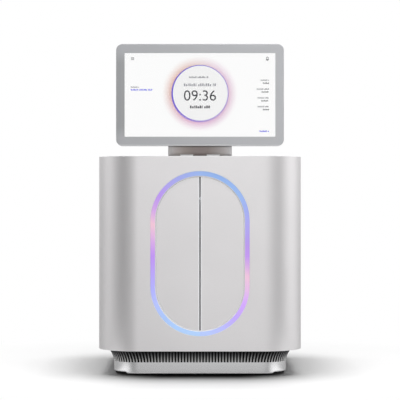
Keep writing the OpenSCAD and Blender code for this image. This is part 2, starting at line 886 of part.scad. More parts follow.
module drive_motors() {
    drive_motor(tray_screw_z);
    drive_motor(stage_screw_z);
}

// ---- Fluidics ----

module syringe_pump() {
    color([0.3, 0.33, 0.38]) {
        translate([pump_x - 26, pump_y - 28, pump_z]) cube([52, 70, barrel_z + barrel_l + 34 - pump_z]);
        for (z = [barrel_z - 2, barrel_z + barrel_l - 10]) difference() {
            translate([pump_x - 16, syringe_y - 14, z]) cube([32, 30, 8]);
            translate([pump_x, syringe_y, z - 1]) cylinder(r = syringe_r + 2, h = 10);
        }
        difference() {
            translate([pump_x - 18, syringe_y - 12, barrel_z + barrel_l + 2]) cube([36, 28, 30]);
            translate([pump_x, syringe_y - 13, valve_z]) rod_y(8, 20);
        }
    }
}

module syringe_barrel() {
    color([0.8, 0.9, 0.95, 0.5]) translate([pump_x, syringe_y, barrel_z - 4]) difference() {
        cylinder(r = syringe_r + 2, h = barrel_l + 6);
        translate([0, 0, -1]) cylinder(r = syringe_r, h = barrel_l + 4);
    }
}

module syringe_plunger() {
    color("white") translate([pump_x, syringe_y, barrel_z]) {
        translate([0, 0, 6]) cylinder(r = syringe_r - run_fit, h = 10);
        translate([0, 0, -stroke - 14]) cylinder(r = 3, h = stroke + 24);
        translate([0, 0, -stroke - 20]) cylinder(r = 9, h = 6);
    }
}

module valve_rotor() {
    color("whitesmoke") translate([pump_x, syringe_y - 20, valve_z]) {
        rod_y(8 - run_fit, 26);
        rod_y(11, 6);
        translate([0, -2, 0]) block(4, 8, 16);
    }
}

// Two tubes from the valve, each with a ball elbow at its bends, to the side of the bay.
module fluid_tubing() {
    x = pump_x + 18;
    bend_x = x + 24;
    drop = 40;
    color([0.9, 0.95, 1, 0.6]) for (y = [syringe_y - 6, syringe_y + 6]) {
        translate([x, y, valve_z]) rod_x(tube_r, bend_x - x);
        translate([bend_x, y, valve_z]) sphere(tube_r + 0.3);
        translate([bend_x, y, valve_z - drop]) cylinder(r = tube_r, h = drop);
        translate([bend_x, y, valve_z - drop]) sphere(tube_r + 0.3);
        translate([bend_x, y, valve_z - drop]) rod_x(tube_r, -bay_w / 2 - bay_wall - bend_x);
    }
}

// ---- Electronics and rear fittings ----

module main_board() {
    x = post_x + 14;
    l = 220;
    color("darkgreen") translate([x, -l / 2, deck_z + 12]) cube([board_t, l, 190]);
    color("black") for (y = [-80, -20, 60], z = [40, 110])
        translate([x - 3, y, deck_z + z]) cube([3, 26, 26]);
    color("silver") translate([x - 18, 0, deck_z + 60]) cube([18, 34, 34]);
}

module power_supply() {
    w = 100;
    d = 110;
    h = 54;
    vent = 5;
    x = post_x - post_w / 2 - 8 - w;
    y = back_y - 50 - d;
    color("silver") difference() {
        translate([x, y, floor_z]) cube([w, d, h]);
        for (k = [0:6]) translate([x + 10 + k * 12, y - 1, floor_z + 10]) cube([vent, 3, h - 20]);
    }
}

module fan_frame() {
    difference() {
        block(fan_w, fan_t, fan_w);
        translate([0, -1, 0]) rod_y(fan_r, fan_t + 2);
    }
    for (a = [0, 60, 120]) rotate([0, a, 0]) block(2 * fan_r + 1, 3, 4);
    rod_y(hub_r, 4);
    rod_y(axle_r, fan_t - 5.5);
}

module fan_housings() {
    color([0.12, 0.12, 0.13]) for (s = [-1, 1])
        translate([s * fan_x, rear_y - plate_t - fan_t, fan_z]) fan_frame();
}

module fan_rotor(s) {
    blade_w = fan_t - 10;
    color([0.1, 0.1, 0.11]) translate([s * fan_x, rear_y - plate_t - fan_t + 5, fan_z])
        difference() {
            union() {
                rod_y(hub_r, blade_w + 2);
                intersection() {
                    rod_y(fan_r - 1.5, blade_w);
                    for (k = [0:blades - 1]) rotate([0, 360 * k / blades, 0])
                        translate([hub_r + fan_r / 2 - 6, blade_w / 2, 0]) rotate([38, 0, 0])
                            cube([fan_r, 2 * fan_t, 2], center = true);
                }
            }
            translate([0, -1, 0]) rod_y(axle_r + run_fit, blade_w + 1);
        }
}

module power_inlet() {
    color([0.1, 0.1, 0.11]) difference() {
        union() {
            translate([inlet_x, rear_y, inlet_z]) block(56, 2.5, 34);
            translate([inlet_x, rear_y - 26, inlet_z]) block(49, 26, 29);
        }
        translate([inlet_x, rear_y - 16, inlet_z]) block(24.5, 30, 16.5);
    }
    color("silver") for (x = [-7, 0, 7])
        translate([inlet_x + x, rear_y - 18, inlet_z + (x == 0 ? 3 : -1)]) block(2, 14, 6);
    color([0.1, 0.1, 0.11]) difference() {
        union() {
            translate([switch_x, rear_y, inlet_z]) block(28, 2, 34);
            translate([switch_x, rear_y - 18, inlet_z]) block(23, 18, 29);
        }
        translate([switch_x, rear_y - 14, inlet_z]) block(19, 30, 25);
    }
}

// Rocker with two faces that meet at a shallow angle, resting on its lower half.
module rocker_switch() {
    color([0.15, 0.15, 0.16]) translate([switch_x - 9, rear_y - 3, inlet_z]) rotate([-8, 0, 0])
        rotate([90, 0, 90]) linear_extrude(18) polygon([
            [3.6, 0], [5, 11.3], [3.4, 11.6], [-3, 8], [-6, 0], [-3, -8], [3.4, -11.6], [5, -11.3]
        ]);
}

module io_ports() {
    color("silver") difference() {
        union() {
            translate([ports_x, rear_y, ports_z]) block(34, 1.5, 68);
            translate([ports_x, rear_y - 18, ports_z]) block(28, 18, 63);
        }
        translate([ports_x, rear_y - 14, ports_z + 16]) block(14, 20, 12);
        for (z = [-4, -18]) translate([ports_x, rear_y - 12, ports_z + z]) block(13, 20, 5.4);
    }
    color("black") for (z = [-4, -18]) translate([ports_x, rear_y - 12, ports_z + z - 1])
        block(11, 10, 1.9);
}

front_shell();
side_panel(-1);  // left_side_panel
side_panel(1);  // right_side_panel
rear_panel();
top_cover();
plinth();
intake_grille();
base_plate();
rubber_feet();
chassis_frame();
case_screws();
ring_lens();
ring_led_board();
ring_housing();
door_skin(-1);  // left_door_skin
door_liner(-1);  // left_door_liner
door_arms(-1);  // left_door_arms
door_skin(1);  // right_door_skin
door_liner(1);  // right_door_liner
door_arms(1);  // right_door_arms
hinge_lugs();
hinge_pins();
door_magnets();
monitor_bezel();
monitor_glass();
display_panel();
monitor_back();
monitor_board();
monitor_yoke();
hinge_base();
hinge_shaft();
bay_bezel();
bay_liner();
bay_lamp();
cartridge_tray();
tray_rails();
tray_screw();
optics_base();
objective();
camera_module();
light_engine();
stage_rails();
stage_carriage();
flow_cell_clamp();
stage_screw();
drive_motors();
syringe_pump();
syringe_barrel();
syringe_plunger();
valve_rotor();
fluid_tubing();
main_board();
power_supply();
fan_housings();
fan_rotor(-1);  // left_fan
fan_rotor(1);  // right_fan
power_inlet();
rocker_switch();
io_ports();
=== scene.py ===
import math

import bmesh
import bpy
from mathutils import Matrix, Vector


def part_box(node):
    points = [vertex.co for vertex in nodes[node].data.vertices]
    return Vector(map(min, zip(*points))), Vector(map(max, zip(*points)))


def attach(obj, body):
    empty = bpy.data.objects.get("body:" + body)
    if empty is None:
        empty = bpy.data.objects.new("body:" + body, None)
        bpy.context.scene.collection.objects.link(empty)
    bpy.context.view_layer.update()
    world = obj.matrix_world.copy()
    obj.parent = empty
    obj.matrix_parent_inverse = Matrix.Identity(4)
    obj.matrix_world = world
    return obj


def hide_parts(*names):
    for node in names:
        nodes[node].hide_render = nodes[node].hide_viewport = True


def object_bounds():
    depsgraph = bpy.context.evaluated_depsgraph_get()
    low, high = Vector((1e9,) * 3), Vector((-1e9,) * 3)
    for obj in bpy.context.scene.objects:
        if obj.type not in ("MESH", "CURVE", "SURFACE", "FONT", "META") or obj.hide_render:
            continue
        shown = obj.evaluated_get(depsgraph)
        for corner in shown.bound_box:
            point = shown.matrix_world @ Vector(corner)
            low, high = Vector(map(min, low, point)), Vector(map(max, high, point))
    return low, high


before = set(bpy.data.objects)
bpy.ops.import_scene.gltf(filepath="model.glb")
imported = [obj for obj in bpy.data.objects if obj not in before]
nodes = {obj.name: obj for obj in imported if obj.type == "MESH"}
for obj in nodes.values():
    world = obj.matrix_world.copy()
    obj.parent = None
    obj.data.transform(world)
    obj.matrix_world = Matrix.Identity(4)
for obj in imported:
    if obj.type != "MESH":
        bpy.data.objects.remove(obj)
cad_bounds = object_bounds()
MM = 0.001
print("CAD box", cad_bounds)

# %% [markdown]
# The camera comes first, because it decides which surfaces have to be good. It stands level,
# in front of the cabinet at the height of the doors' upper half, with a long lens, so that
# the upright edges stay parallel and the cabinet's top isn't seen.
# %% Camera
CAMERA_GAP, CAMERA_HEIGHT = 3.300, 0.3435  # metres, from the cabinet's face and the ground
FOCAL_LENGTH, SENSOR_WIDTH = 153.3, 36  # millimetres
front_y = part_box("front_shell")[0][1]
camera_data = bpy.data.cameras.new("camera")
camera_data.lens = FOCAL_LENGTH
camera_data.sensor_width = SENSOR_WIDTH
camera = bpy.data.objects.new("camera", camera_data)
camera.location = (0, front_y - CAMERA_GAP, CAMERA_HEIGHT)
camera.rotation_euler = (math.radians(90), 0, 0)
bpy.context.collection.objects.link(camera)
bpy.context.scene.camera = camera
bpy.context.scene.view_settings.view_transform = "Standard"
print("camera at", tuple(camera.location))

# %% [markdown]
# Materials are node trees. A few small functions keep them readable: one turns a colour, as
# a designer writes it in hex, to the linear values that the shader wants, one adds a node
# with its settings and its links in one call, two fill the stops of a colour ramp, and one
# starts an empty material.
# %% Colour and node helpers
def linear(hex_colour):
    """A hex sRGB colour as linear RGBA."""
    channels = [int(hex_colour[i:i + 2], 16) / 255 for i in (1, 3, 5)]
    return [c / 12.92 if c <= 0.04045 else ((c + 0.055) / 1.055) ** 2.4 for c in channels] + [1]


def add(tree, kind, inputs=None, stops=(), **settings):
    """Adds a node. inputs maps a socket's name or number to a value or to another socket,
    and stops are the positions and colours of a colour ramp."""
    node = tree.nodes.new(kind)
    for key, value in settings.items():
        setattr(node, key, value)
    for key, value in (inputs or {}).items():
        if isinstance(value, bpy.types.NodeSocket):
            tree.links.new(value, node.inputs[key])
        else:
            node.inputs[key].default_value = value
    for number, (position, colour) in enumerate(stops):
        elements = node.color_ramp.elements
        element = elements[number] if number < len(elements) else elements.new(position)
        element.position, element.color = position, colour
    return node


def even_stops(colours):
    """The stops of a ramp that shares its length evenly among hex colours."""
    last = len(colours) - 1
    return [(number / last, linear(colour)) for number, colour in enumerate(colours)]


def grey_stops(levels):
    """The stops of a ramp of greys, from pairs of a place and a level."""
    return [(place, (level, level, level, 1)) for place, level in levels]


def new_material(name):
    """An empty material: its node tree, the socket that its shader goes to, and the Object
    coordinates that its patterns read."""
    material = bpy.data.materials.new(name)
    material.use_nodes = True
    tree = material.node_tree
    tree.nodes.clear()
    output = add(tree, "ShaderNodeOutputMaterial").inputs["Surface"]
    return material, tree, output, add(tree, "ShaderNodeTexCoord").outputs["Object"]


# %% [markdown]
# Most parts here are moulded, cast, painted or machined, and what the eye reads on them is
# the same kind of thing at different sizes: a grain in the gloss, a fine relief and a slight
# drift of the colour. One function builds that surface, and every material says how large
# its own grain is in millimetres. Real blasting, flake and mould texture are finer than a
# tenth of a millimetre and wouldn't show, so each is drawn about a millimetre wide.
# %% The shared surface
GRAIN_SPREAD = {"From Min": 0.3, "From Max": 0.7}  # nearly all of a noise lies between these
DRIFT_SCALE = 9.0  # patches of slightly other colour, some 110 mm wide


def grained(tree, coordinates, grain, relief, roughness=0.5):
    """A grain of a size in mm: its noise, and its relief of a depth in mm as a normal."""
    noise = add(tree, "ShaderNodeTexNoise", {"Vector": coordinates, "Scale": 1 / (grain * MM),
                                             "Roughness": roughness}).outputs["Fac"]
    bump = add(tree, "ShaderNodeBump", {"Height": noise, "Distance": relief * MM})
    return noise, bump.outputs["Normal"]


def surface(name, colour, metallic=0.0, roughness=0.5, grain=1.0, relief=0.02, gloss_drift=0.06,
            tint=0.05, stretch=(1, 1, 1), coat=0.0):
    """A solid surface with grain (its size in mm) and relief (its depth in mm)."""
    material, tree, output, coordinates = new_material(name)
    fine = add(tree, "ShaderNodeMapping", {"Vector": coordinates, "Scale": stretch}).outputs[0]
    noise, normal = grained(tree, fine, grain, relief, roughness=0.55)
    drift = add(tree, "ShaderNodeTexNoise", {"Vector": coordinates, "Scale": DRIFT_SCALE})
    mixed = add(tree, "ShaderNodeMath", {0: noise, 1: drift.outputs["Fac"]}, operation="MULTIPLY")
    base = linear(colour)[:3]
    dark, light = [[min(1, c * level) for c in base] + [1] for level in (1 - tint, 1 + tint)]
    # Each noise stays near a half, so nearly all of their product lies between these stops.
    shade = add(tree, "ShaderNodeValToRGB", {0: mixed.outputs[0]}, [(0.12, dark), (0.42, light)])
    gloss = add(tree, "ShaderNodeMapRange", {"Value": noise, "To Min": roughness - gloss_drift,
                                             "To Max": roughness + gloss_drift, **GRAIN_SPREAD})
    shader = add(tree, "ShaderNodeBsdfPrincipled",
                 {"Base Color": shade.outputs["Color"], "Metallic": metallic,
                  "Roughness": gloss.outputs["Result"], "Coat Weight": coat, "Normal": normal})
    tree.links.new(shader.outputs[0], output)
    return material


# %% [markdown]
# The cabinet is sheet aluminium with a silver metallic paint, baked to a satin gloss. The
# flakes make it part mirror and part matt: round corners carry soft bands of the room, and
# flat faces stay even. Round it stand other greys and silvers, told apart by their gloss.
# %% Paints and coats
# Silver with flake: even on a flat face, with soft bands on a round one.
satin_silver = surface("silver_metallic_paint", "#E5E3E4", metallic=0.72, roughness=0.33,
                       grain=1.6, relief=0.010, gloss_drift=0.03, tint=0.02)
# Bevels and seams get a pale, dull colour: a painted highlight, a pale line along every seam
# where an edge would catch the light.
pale_edge_highlight = surface("pale_painted_edge_highlight", "#F8F8FA", metallic=0.08, roughness=0.45, grain=0.8,
                   relief=0.004, tint=0.01)
# The ring's trim is painted pale and dull, so it parts the glow from the doors' silver.
trim_paint = surface("pale_grey_ring_trim", "#E2E1E4", metallic=0.1, roughness=0.45, grain=0.8,
                     relief=0.004, tint=0.01)
# The lid has a fine texture under its silver: from above it is a dull, even field.
lid_paint = surface("fine_textured_silver_lid_paint", "#CBCBCC", metallic=0.45, roughness=0.5,
                    grain=1.1, relief=0.03, tint=0.02)
# Powder coat on the rear sheet: grey, with a pebble that breaks up every highlight.
rear_paint = surface("textured_grey_powder_coat", "#A9AAAC", metallic=0.1, roughness=0.55,
                     grain=0.9, relief=0.05)
# The same coat on castings: dark, matt and a little lumpy.
cast_zinc = surface("powder_coated_zinc_casting", "#5F6266", metallic=0.3, roughness=0.5,
                    grain=1.1, relief=0.03)
# Matt black put where only shade would be: a painted shade without any highlight, so it reads as
# depth.
painted_shade_black = surface("matt_black_painted_shade", "#050506", roughness=0.9, grain=1.0, relief=0.02)

# %% [markdown]
# Bare metal is a mirror that its finish makes more or less sharp: blasted is soft, dipped or
# chromed is sharp, and a tool leaves fine lines that draw a highlight out one way.
# %% Bare and plated metals
# Blasted, then anodised: metal in colour, with a soft broad highlight.
anodised = surface("bead_blasted_anodised_aluminium", "#CFCFD0", metallic=0.88, roughness=0.36,
                   grain=1.2, relief=0.02, tint=0.03)
# Bright dipped, then anodised: the plinth's band shows the floor almost sharply.
band_metal = surface("bright_anodised_plinth_band", "#D9D9DA", metallic=0.95, roughness=0.25,
                     grain=3.0, relief=0.001, gloss_drift=0.01, tint=0.01)
# The hinge lugs are anodised thick and pale: their round ends stay light all round.
hinge_metal = surface("pale_anodised_hinge_lugs", "#F0F0F0", metallic=0.4, roughness=0.4,
                      grain=1.0, relief=0.01, tint=0.02)
# Black anodising keeps a thin metallic highlight on a body that is nearly black.
black_anodised = surface("black_anodised_aluminium", "#2A2A2D", metallic=0.7, roughness=0.4,
                         grain=0.9, relief=0.01)
# Zinc plate: a bluish mirror with crystal patches some millimetres wide.
zinc_plate = surface("zinc_plated_sheet", "#B4BABD", metallic=0.95, roughness=0.38, grain=6.0,
                     relief=0.01, tint=0.10)
# Turned and ground steel carry tool marks that draw the highlight out along Y.
turned_steel = surface("turned_steel", "#C6C6C8", metallic=1.0, roughness=0.25, grain=0.8,
                       relief=0.006, stretch=(1, 0.1, 1), tint=0.04)
ground_steel = surface("ground_rail_steel", "#CACBCC", metallic=1.0, roughness=0.22, grain=0.7,
                       relief=0.004, stretch=(1, 0.05, 1), tint=0.04)
# Nickel plate is smooth and bright beside the powder coat round it.
port_metal = surface("nickel_plated_port_plate", "#D9DADC", metallic=0.85, roughness=0.35,
                     grain=1.0, relief=0.004)
# Satin chrome is the sharpest mirror here, drawn out along the barrel.
chromed = surface("satin_chrome_barrel", "#D5D5D7", metallic=1.0, roughness=0.16, grain=0.8,
                  relief=0.003, stretch=(1, 1, 0.1))
# Gold plate over brass: the one warm metal in the bay.
clamp_brass = surface("gold_plated_clamp", "#C8A660", metallic=1.0, roughness=0.28, grain=0.9,
                      relief=0.006)

# %% [markdown]
# Plastics here are injection moulded. Spark-eroded moulds leave a pebble texture on covers,
# and polished moulds leave smooth white parts in the bay. Rubber is matt and slightly dusty.
# %% Plastics and rubber
# Covers: the pebble turns a highlight into a haze.
black_abs = surface("textured_black_abs", "#1B1B1D", roughness=0.55, grain=0.9, relief=0.05)
grey_abs = surface("textured_grey_abs", "#8F9296", roughness=0.55, grain=0.9, relief=0.05)
liner_abs = surface("pebbled_liner_abs", "#A4A7AB", roughness=0.5, grain=1.2, relief=0.05)
# From a polished mould: a milky shine that the bay's lamp runs along.
bay_white = surface("polished_white_abs", "#E3E5E8", roughness=0.28, grain=3.0, relief=0.01)
# Fine-grained frames and trays: a dull sheen that keeps their colour deep.
bay_dark = surface("charcoal_bay_frame_abs", "#34363B", roughness=0.45, grain=1.0, relief=0.03)
tray_plastic = surface("slate_blue_tray_pbt", "#4A5669", roughness=0.42, grain=1.0, relief=0.02)
pump_plastic = surface("slate_pump_housing_pbt", "#525A66", roughness=0.5, grain=1.0, relief=0.03)
# PTFE is waxy: white, with a wide weak shine.
ptfe = surface("white_ptfe", "#ECEBE8", roughness=0.4, grain=2.0, relief=0.005, tint=0.02)
# Rubber has no clear highlight, and dust makes it lighter in patches.
rubber = surface("moulded_black_rubber", "#121213", roughness=0.78, grain=1.4, relief=0.06,
                 tint=0.2)
lip_rubber = surface("grey_sealing_lip_rubber", "#838386", roughness=0.7, grain=1.2, relief=0.03)
# Lacquer over copper tracks: uneven green under a glossy coat.
solder_mask = surface("green_solder_mask", "#0F4A2C", roughness=0.25, grain=2.2, relief=0.03,
                      tint=0.35, coat=0.4)

# %% [markdown]
# There are two glasses. The cover glass has a coat that takes away nearly all of its mirror
# image, so its IOR is set far below that of glass, and the page behind it stays clear. The
# syringe is plain borosilicate glass, with the bright rims that its full IOR gives.
# %% Glass
GLASS_WAVE, GLASS_RELIEF = 40, 0.004  # millimetres: what makes a reflection swim a little


def clear(name, colour, roughness, ior):
    """Clear glass with faint waviness."""
    material, tree, output, coordinates = new_material(name)
    normal = grained(tree, coordinates, GLASS_WAVE, GLASS_RELIEF)[1]
    shader = add(tree, "ShaderNodeBsdfPrincipled",
                 {"Base Color": linear(colour), "Roughness": roughness, "IOR": ior,
                  "Transmission Weight": 1.0, "Normal": normal})
    tree.links.new(shader.outputs[0], output)
    return material


cover_glass = clear("antireflection_coated_cover_glass", "#FFFFFF", 0.02, 1.12)
syringe_glass = clear("borosilicate_syringe_glass", "#F4FBFC", 0.01, 1.47)

# %% [markdown]
# A silver object looks like what it mirrors, so a studio for it is mostly what stands round
# it. Here that is a curved wall which only reflections see. Its brightness goes round the
# object: bright in front and at the sides, with tall grey flags between, whose image makes
# the soft dark bands on the round corners. It also grows brighter with height. The floor
# near the object has a brightness of its own, with a bright patch off each front corner,
# which lights the plinth's round corners from below.
# %% What the metal mirrors
# Each pair is a bearing in degrees, 0 in front and 90 to the right, and a brightness.
FLAGS = ((-180, 0.80), (-142, 0.66), (-126, 0.56), (-110, 0.72), (-96, 0.86), (-84, 0.82),
         (-73, 0.66), (-62, 0.42), (-53, 0.26), (-43, 0.22), (-34, 0.29), (-26, 0.40),
         (-17, 0.56), (-9, 0.80), (-3, 1.0), (6, 1.0), (16, 0.93), (24, 0.83), (33, 0.66),
         (42, 0.50), (51, 0.46), (61, 0.62), (71, 0.96), (82, 1.14), (94, 1.19), (107, 1.10),
         (118, 0.88), (131, 0.68), (145, 0.72), (180, 0.80))
NEAR_FLOOR = ((-180, 0.68), (-80, 0.66), (-64, 0.68), (-54, 2.00), (-43, 2.05), (-34, 0.60),
              (-22, 0.80), (26, 0.80), (35, 0.60), (43, 2.10), (55, 2.00), (65, 0.70), (80, 0.68),
              (180, 0.68))


def mirrored_level(tree, coordinates, levels):
    """The studio's brightness at a place, by its bearing from the object."""
    split = add(tree, "ShaderNodeSeparateXYZ", {0: coordinates})
    depth = add(tree, "ShaderNodeMath", {0: split.outputs["Y"], 1: -1.0}, operation="MULTIPLY")
    bearing = add(tree, "ShaderNodeMath", {0: split.outputs["X"], 1: depth.outputs[0]},
                  operation="ARCTAN2")
    share = add(tree, "ShaderNodeMapRange", {"Value": bearing.outputs[0], "From Min": -math.pi,
                                             "From Max": math.pi})
    stops = grey_stops([((degrees + 180) / 360, level) for degrees, level in levels])
    return add(tree, "ShaderNodeValToRGB", {0: share.outputs["Result"]}, stops).outputs["Color"]


# %% [markdown]
# The world is an even soft light. Seen by the camera, through glass or in a reflection, it is
# plain white, but what it gives to matt surfaces is only a part of that.
# %% World
WORLD_LEVEL = 0.34
world = bpy.data.worlds.new("studio")
bpy.context.scene.world = world
world.use_nodes = True
tree = world.node_tree
tree.nodes.clear()
path = add(tree, "ShaderNodeLightPath")
seen = path.outputs["Is Camera Ray"]
for ray in ("Is Glossy Ray", "Is Transmission Ray"):
    seen = add(tree, "ShaderNodeMath", {0: seen, 1: path.outputs[ray]},
               operation="MAXIMUM").outputs[0]
level = add(tree, "ShaderNodeMapRange", {"Value": seen, "To Min": WORLD_LEVEL, "To Max": 1.0})
sky = add(tree, "ShaderNodeBackground", {"Color": (1, 1, 1, 1),
                                         "Strength": level.outputs["Result"]})
add(tree, "ShaderNodeOutputWorld", {"Surface": sky.outputs[0]})

# %% [markdown]
# The floor is a sheet of pale paper. What happens on it goes by how far a place is from the
# plinth, so the first helper measures that: the place is folded into one quarter of the
# plan, and its distance from a rectangle with a round corner is left.
# %% Floor helpers
PLINTH_CORNER = 0.045  # metres


def distance_from_plinth(tree, coordinates):
    """How far a place on the floor is outside the plinth's outline, in metres."""
    low, high = map(Vector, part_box("plinth"))
    middle, half = (low + high) / 2, (high - low) / 2
    moved = add(tree, "ShaderNodeVectorMath", {0: coordinates, 1: middle}, operation="SUBTRACT")
    folded = add(tree, "ShaderNodeVectorMath", {0: moved.outputs[0]}, operation="ABSOLUTE")
    core = (half.x - PLINTH_CORNER, half.y - PLINTH_CORNER, 10)
    beyond = add(tree, "ShaderNodeVectorMath", {0: folded.outputs[0], 1: core},
                 operation="SUBTRACT")
    outside = add(tree, "ShaderNodeVectorMath", {0: beyond.outputs[0], 1: (0, 0, 0)},
                  operation="MAXIMUM")
    length = add(tree, "ShaderNodeVectorMath", {0: outside.outputs[0]}, operation="LENGTH")
    return add(tree, "ShaderNodeMath", {0: length.outputs["Value"], 1: PLINTH_CORNER},
               operation="SUBTRACT").outputs[0]


def staged(bm, name, material):
    """An object of the studio, not of the instrument."""
    mesh = bpy.data.meshes.new(name)
    bm.to_mesh(mesh)
    bm.free()
    obj = bpy.data.objects.new(name, mesh)
    bpy.context.collection.objects.link(obj)
    mesh.materials.append(material)
    return obj


# %% [markdown]
# To the camera the paper is a matt white that takes the softbox's shadow. Two things are
# painted on it: the deep painted shadow that lies before the plinth, and a painted shadow and
# light round the plinth, which darken the paper a little near it and brighten it a little
# further out. Further out it runs into the white of the world.
# %% Paper and front shade
# Metres: the shade goes from 60 mm behind the plinth's front edge to 250 mm before it, and
# fades out to the sides between two distances from the middle.
SHADE_FROM, SHADE_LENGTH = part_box("plinth")[0][1] + 0.06, 0.31
SHADE_SIDES = (0.07, 0.24)
FRONT_SHADE = ((0.0, 0.0), (0.10, 0.70), (0.14, 0.95), (0.194, 0.975), (0.255, 0.93),
               (0.316, 0.79), (0.377, 0.60), (0.435, 0.425), (0.49, 0.335), (0.55, 0.28),
               (0.66, 0.21), (0.77, 0.18), (0.88, 0.14), (1.0, 0.05))
# The paper's painted shadow and light by its distance from the plinth, as a share of its reach.
PAPER_REACH = 0.4
PAPER_PAINTED_SHADE_AND_LIGHT = ((0.0, 0.82), (0.05, 0.82), (0.075, 0.735), (0.14, 0.725), (0.195, 0.745), (0.245, 0.78),
         (0.30, 0.82), (0.35, 0.85), (0.40, 0.885), (0.50, 0.89), (0.75, 0.85), (1.0, 0.82))
WHITE_FROM, WHITE_AT = 0.25, 0.75  # metres from the middle, where paper turns to plain white
floor_material, tree, output, coordinates = new_material("pale_studio_floor")
path = add(tree, "ShaderNodeLightPath")
gap = distance_from_plinth(tree, coordinates)
split = add(tree, "ShaderNodeSeparateXYZ", {0: coordinates})
ahead = add(tree, "ShaderNodeMapRange", {"Value": split.outputs["Y"], "From Min": SHADE_FROM,
                                         "From Max": SHADE_FROM - SHADE_LENGTH})
core = add(tree, "ShaderNodeValToRGB", {0: ahead.outputs["Result"]}, grey_stops(FRONT_SHADE))
aside = add(tree, "ShaderNodeMath", {0: split.outputs["X"]}, operation="ABSOLUTE")
ends = add(tree, "ShaderNodeMapRange", {"Value": aside.outputs[0], "From Min": SHADE_SIDES[0],
                                        "From Max": SHADE_SIDES[1], "To Min": 1.0,
                                        "To Max": 0.0}, interpolation_type="SMOOTHSTEP")
shade = add(tree, "ShaderNodeMath", {0: core.outputs["Color"], 1: ends.outputs["Result"]},
            operation="MULTIPLY")
outwards = add(tree, "ShaderNodeMapRange", {"Value": gap, "From Max": PAPER_REACH})
sheet = add(tree, "ShaderNodeValToRGB", {0: outwards.outputs["Result"]}, grey_stops(PAPER_PAINTED_SHADE_AND_LIGHT))
paper = add(tree, "ShaderNodeMix", {0: shade.outputs[0], 6: sheet.outputs["Color"],
                                    7: (0, 0, 0, 1)}, data_type="RGBA")
distance = add(tree, "ShaderNodeVectorMath", {0: coordinates}, operation="LENGTH")
far = add(tree, "ShaderNodeMapRange",
          {"Value": distance.outputs["Value"], "From Min": WHITE_FROM, "From Max": WHITE_AT},
          interpolation_type="SMOOTHSTEP")
white = add(tree, "ShaderNodeBsdfDiffuse", {"Color": paper.outputs[2]})
sweep_white = add(tree, "ShaderNodeEmission", {"Color": (1, 1, 1, 1), "Strength": 1.0})
ground = add(tree, "ShaderNodeMixShader", {0: far.outputs["Result"], 1: white.outputs[0],
                                           2: sweep_white.outputs[0]})

# %% [markdown]
# Other rays meet another floor. Light that bounces off it finds a plain pale grey. A
# reflection finds the near floor's own brightness, which fades into the wall's further out,
# and which is dim close under the plinth, where the real floor lies in the object's shadow.
# %% Floor
NEAR_FROM, NEAR_TO = 0.24, 0.46  # metres from the plinth, where the near floor ends
DIM_TO = 0.045  # metres from the plinth, where the dim strip under it ends
DIM_LEVEL, FLOOR_LEVEL = 0.05, 0.78
FLOOR_HALF_W = 30  # metres
matt = add(tree, "ShaderNodeBsdfDiffuse", {"Color": linear("#D8D8D8")})
clear_view = add(tree, "ShaderNodeMath",
                 {0: path.outputs["Is Camera Ray"], 1: path.outputs["Is Transmission Ray"]},
                 operation="MAXIMUM")
shown = add(tree, "ShaderNodeMixShader", {0: clear_view.outputs[0], 1: matt.outputs[0],
                                          2: ground.outputs[0]})
apart = add(tree, "ShaderNodeMapRange",
            {"Value": gap, "From Min": NEAR_FROM, "From Max": NEAR_TO},
            interpolation_type="SMOOTHSTEP")
level = add(tree, "ShaderNodeMix", {0: apart.outputs["Result"],
                                    6: mirrored_level(tree, coordinates, NEAR_FLOOR),
                                    7: mirrored_level(tree, coordinates, FLAGS)},
            data_type="RGBA")
dim = add(tree, "ShaderNodeMapRange", {"Value": gap, "From Max": DIM_TO, "To Min": DIM_LEVEL,
                                       "To Max": FLOOR_LEVEL}, interpolation_type="SMOOTHSTEP")
mirrored = add(tree, "ShaderNodeEmission", {"Color": level.outputs[2],
                                            "Strength": dim.outputs["Result"]})
whole = add(tree, "ShaderNodeMixShader", {0: path.outputs["Is Glossy Ray"],
                                          1: shown.outputs[0], 2: mirrored.outputs[0]})
tree.links.new(whole.outputs[0], output)
bm = bmesh.new()
bmesh.ops.create_grid(bm, x_segments=1, y_segments=1, size=FLOOR_HALF_W)
bmesh.ops.translate(bm, verts=bm.verts, vec=(0, 0, cad_bounds[0][2]))
staged(bm, "floor", floor_material)

# %% [markdown]
# The wall is an open cylinder round the object. It lights nothing and hides nothing, because
# every kind of ray but a reflection passes through it.
# %% The curved wall
WALL_R, WALL_H, WALL_SIDES = 2.6, 3.6, 96  # metres
RISE_TO, HIGH_LEVEL = 1.1, 1.36  # the wall is brightest from this height up
wall_material, tree, output, coordinates = new_material("studio_surround")
split = add(tree, "ShaderNodeSeparateXYZ", {0: coordinates})
rise = add(tree, "ShaderNodeMapRange", {"Value": split.outputs["Z"], "From Max": RISE_TO,
                                        "To Min": FLOOR_LEVEL, "To Max": HIGH_LEVEL})
wall_light = add(tree, "ShaderNodeEmission", {"Color": mirrored_level(tree, coordinates, FLAGS),
                                              "Strength": rise.outputs["Result"]})
tree.links.new(wall_light.outputs[0], output)
bm = bmesh.new()
bmesh.ops.create_cone(bm, cap_ends=False, segments=WALL_SIDES, radius1=WALL_R, radius2=WALL_R,
                      depth=WALL_H, matrix=Matrix.Translation((0, 0, WALL_H / 2)))
wall = staged(bm, "surround", wall_material)
wall.visible_camera = wall.visible_diffuse = wall.visible_shadow = False
wall.visible_transmission = False


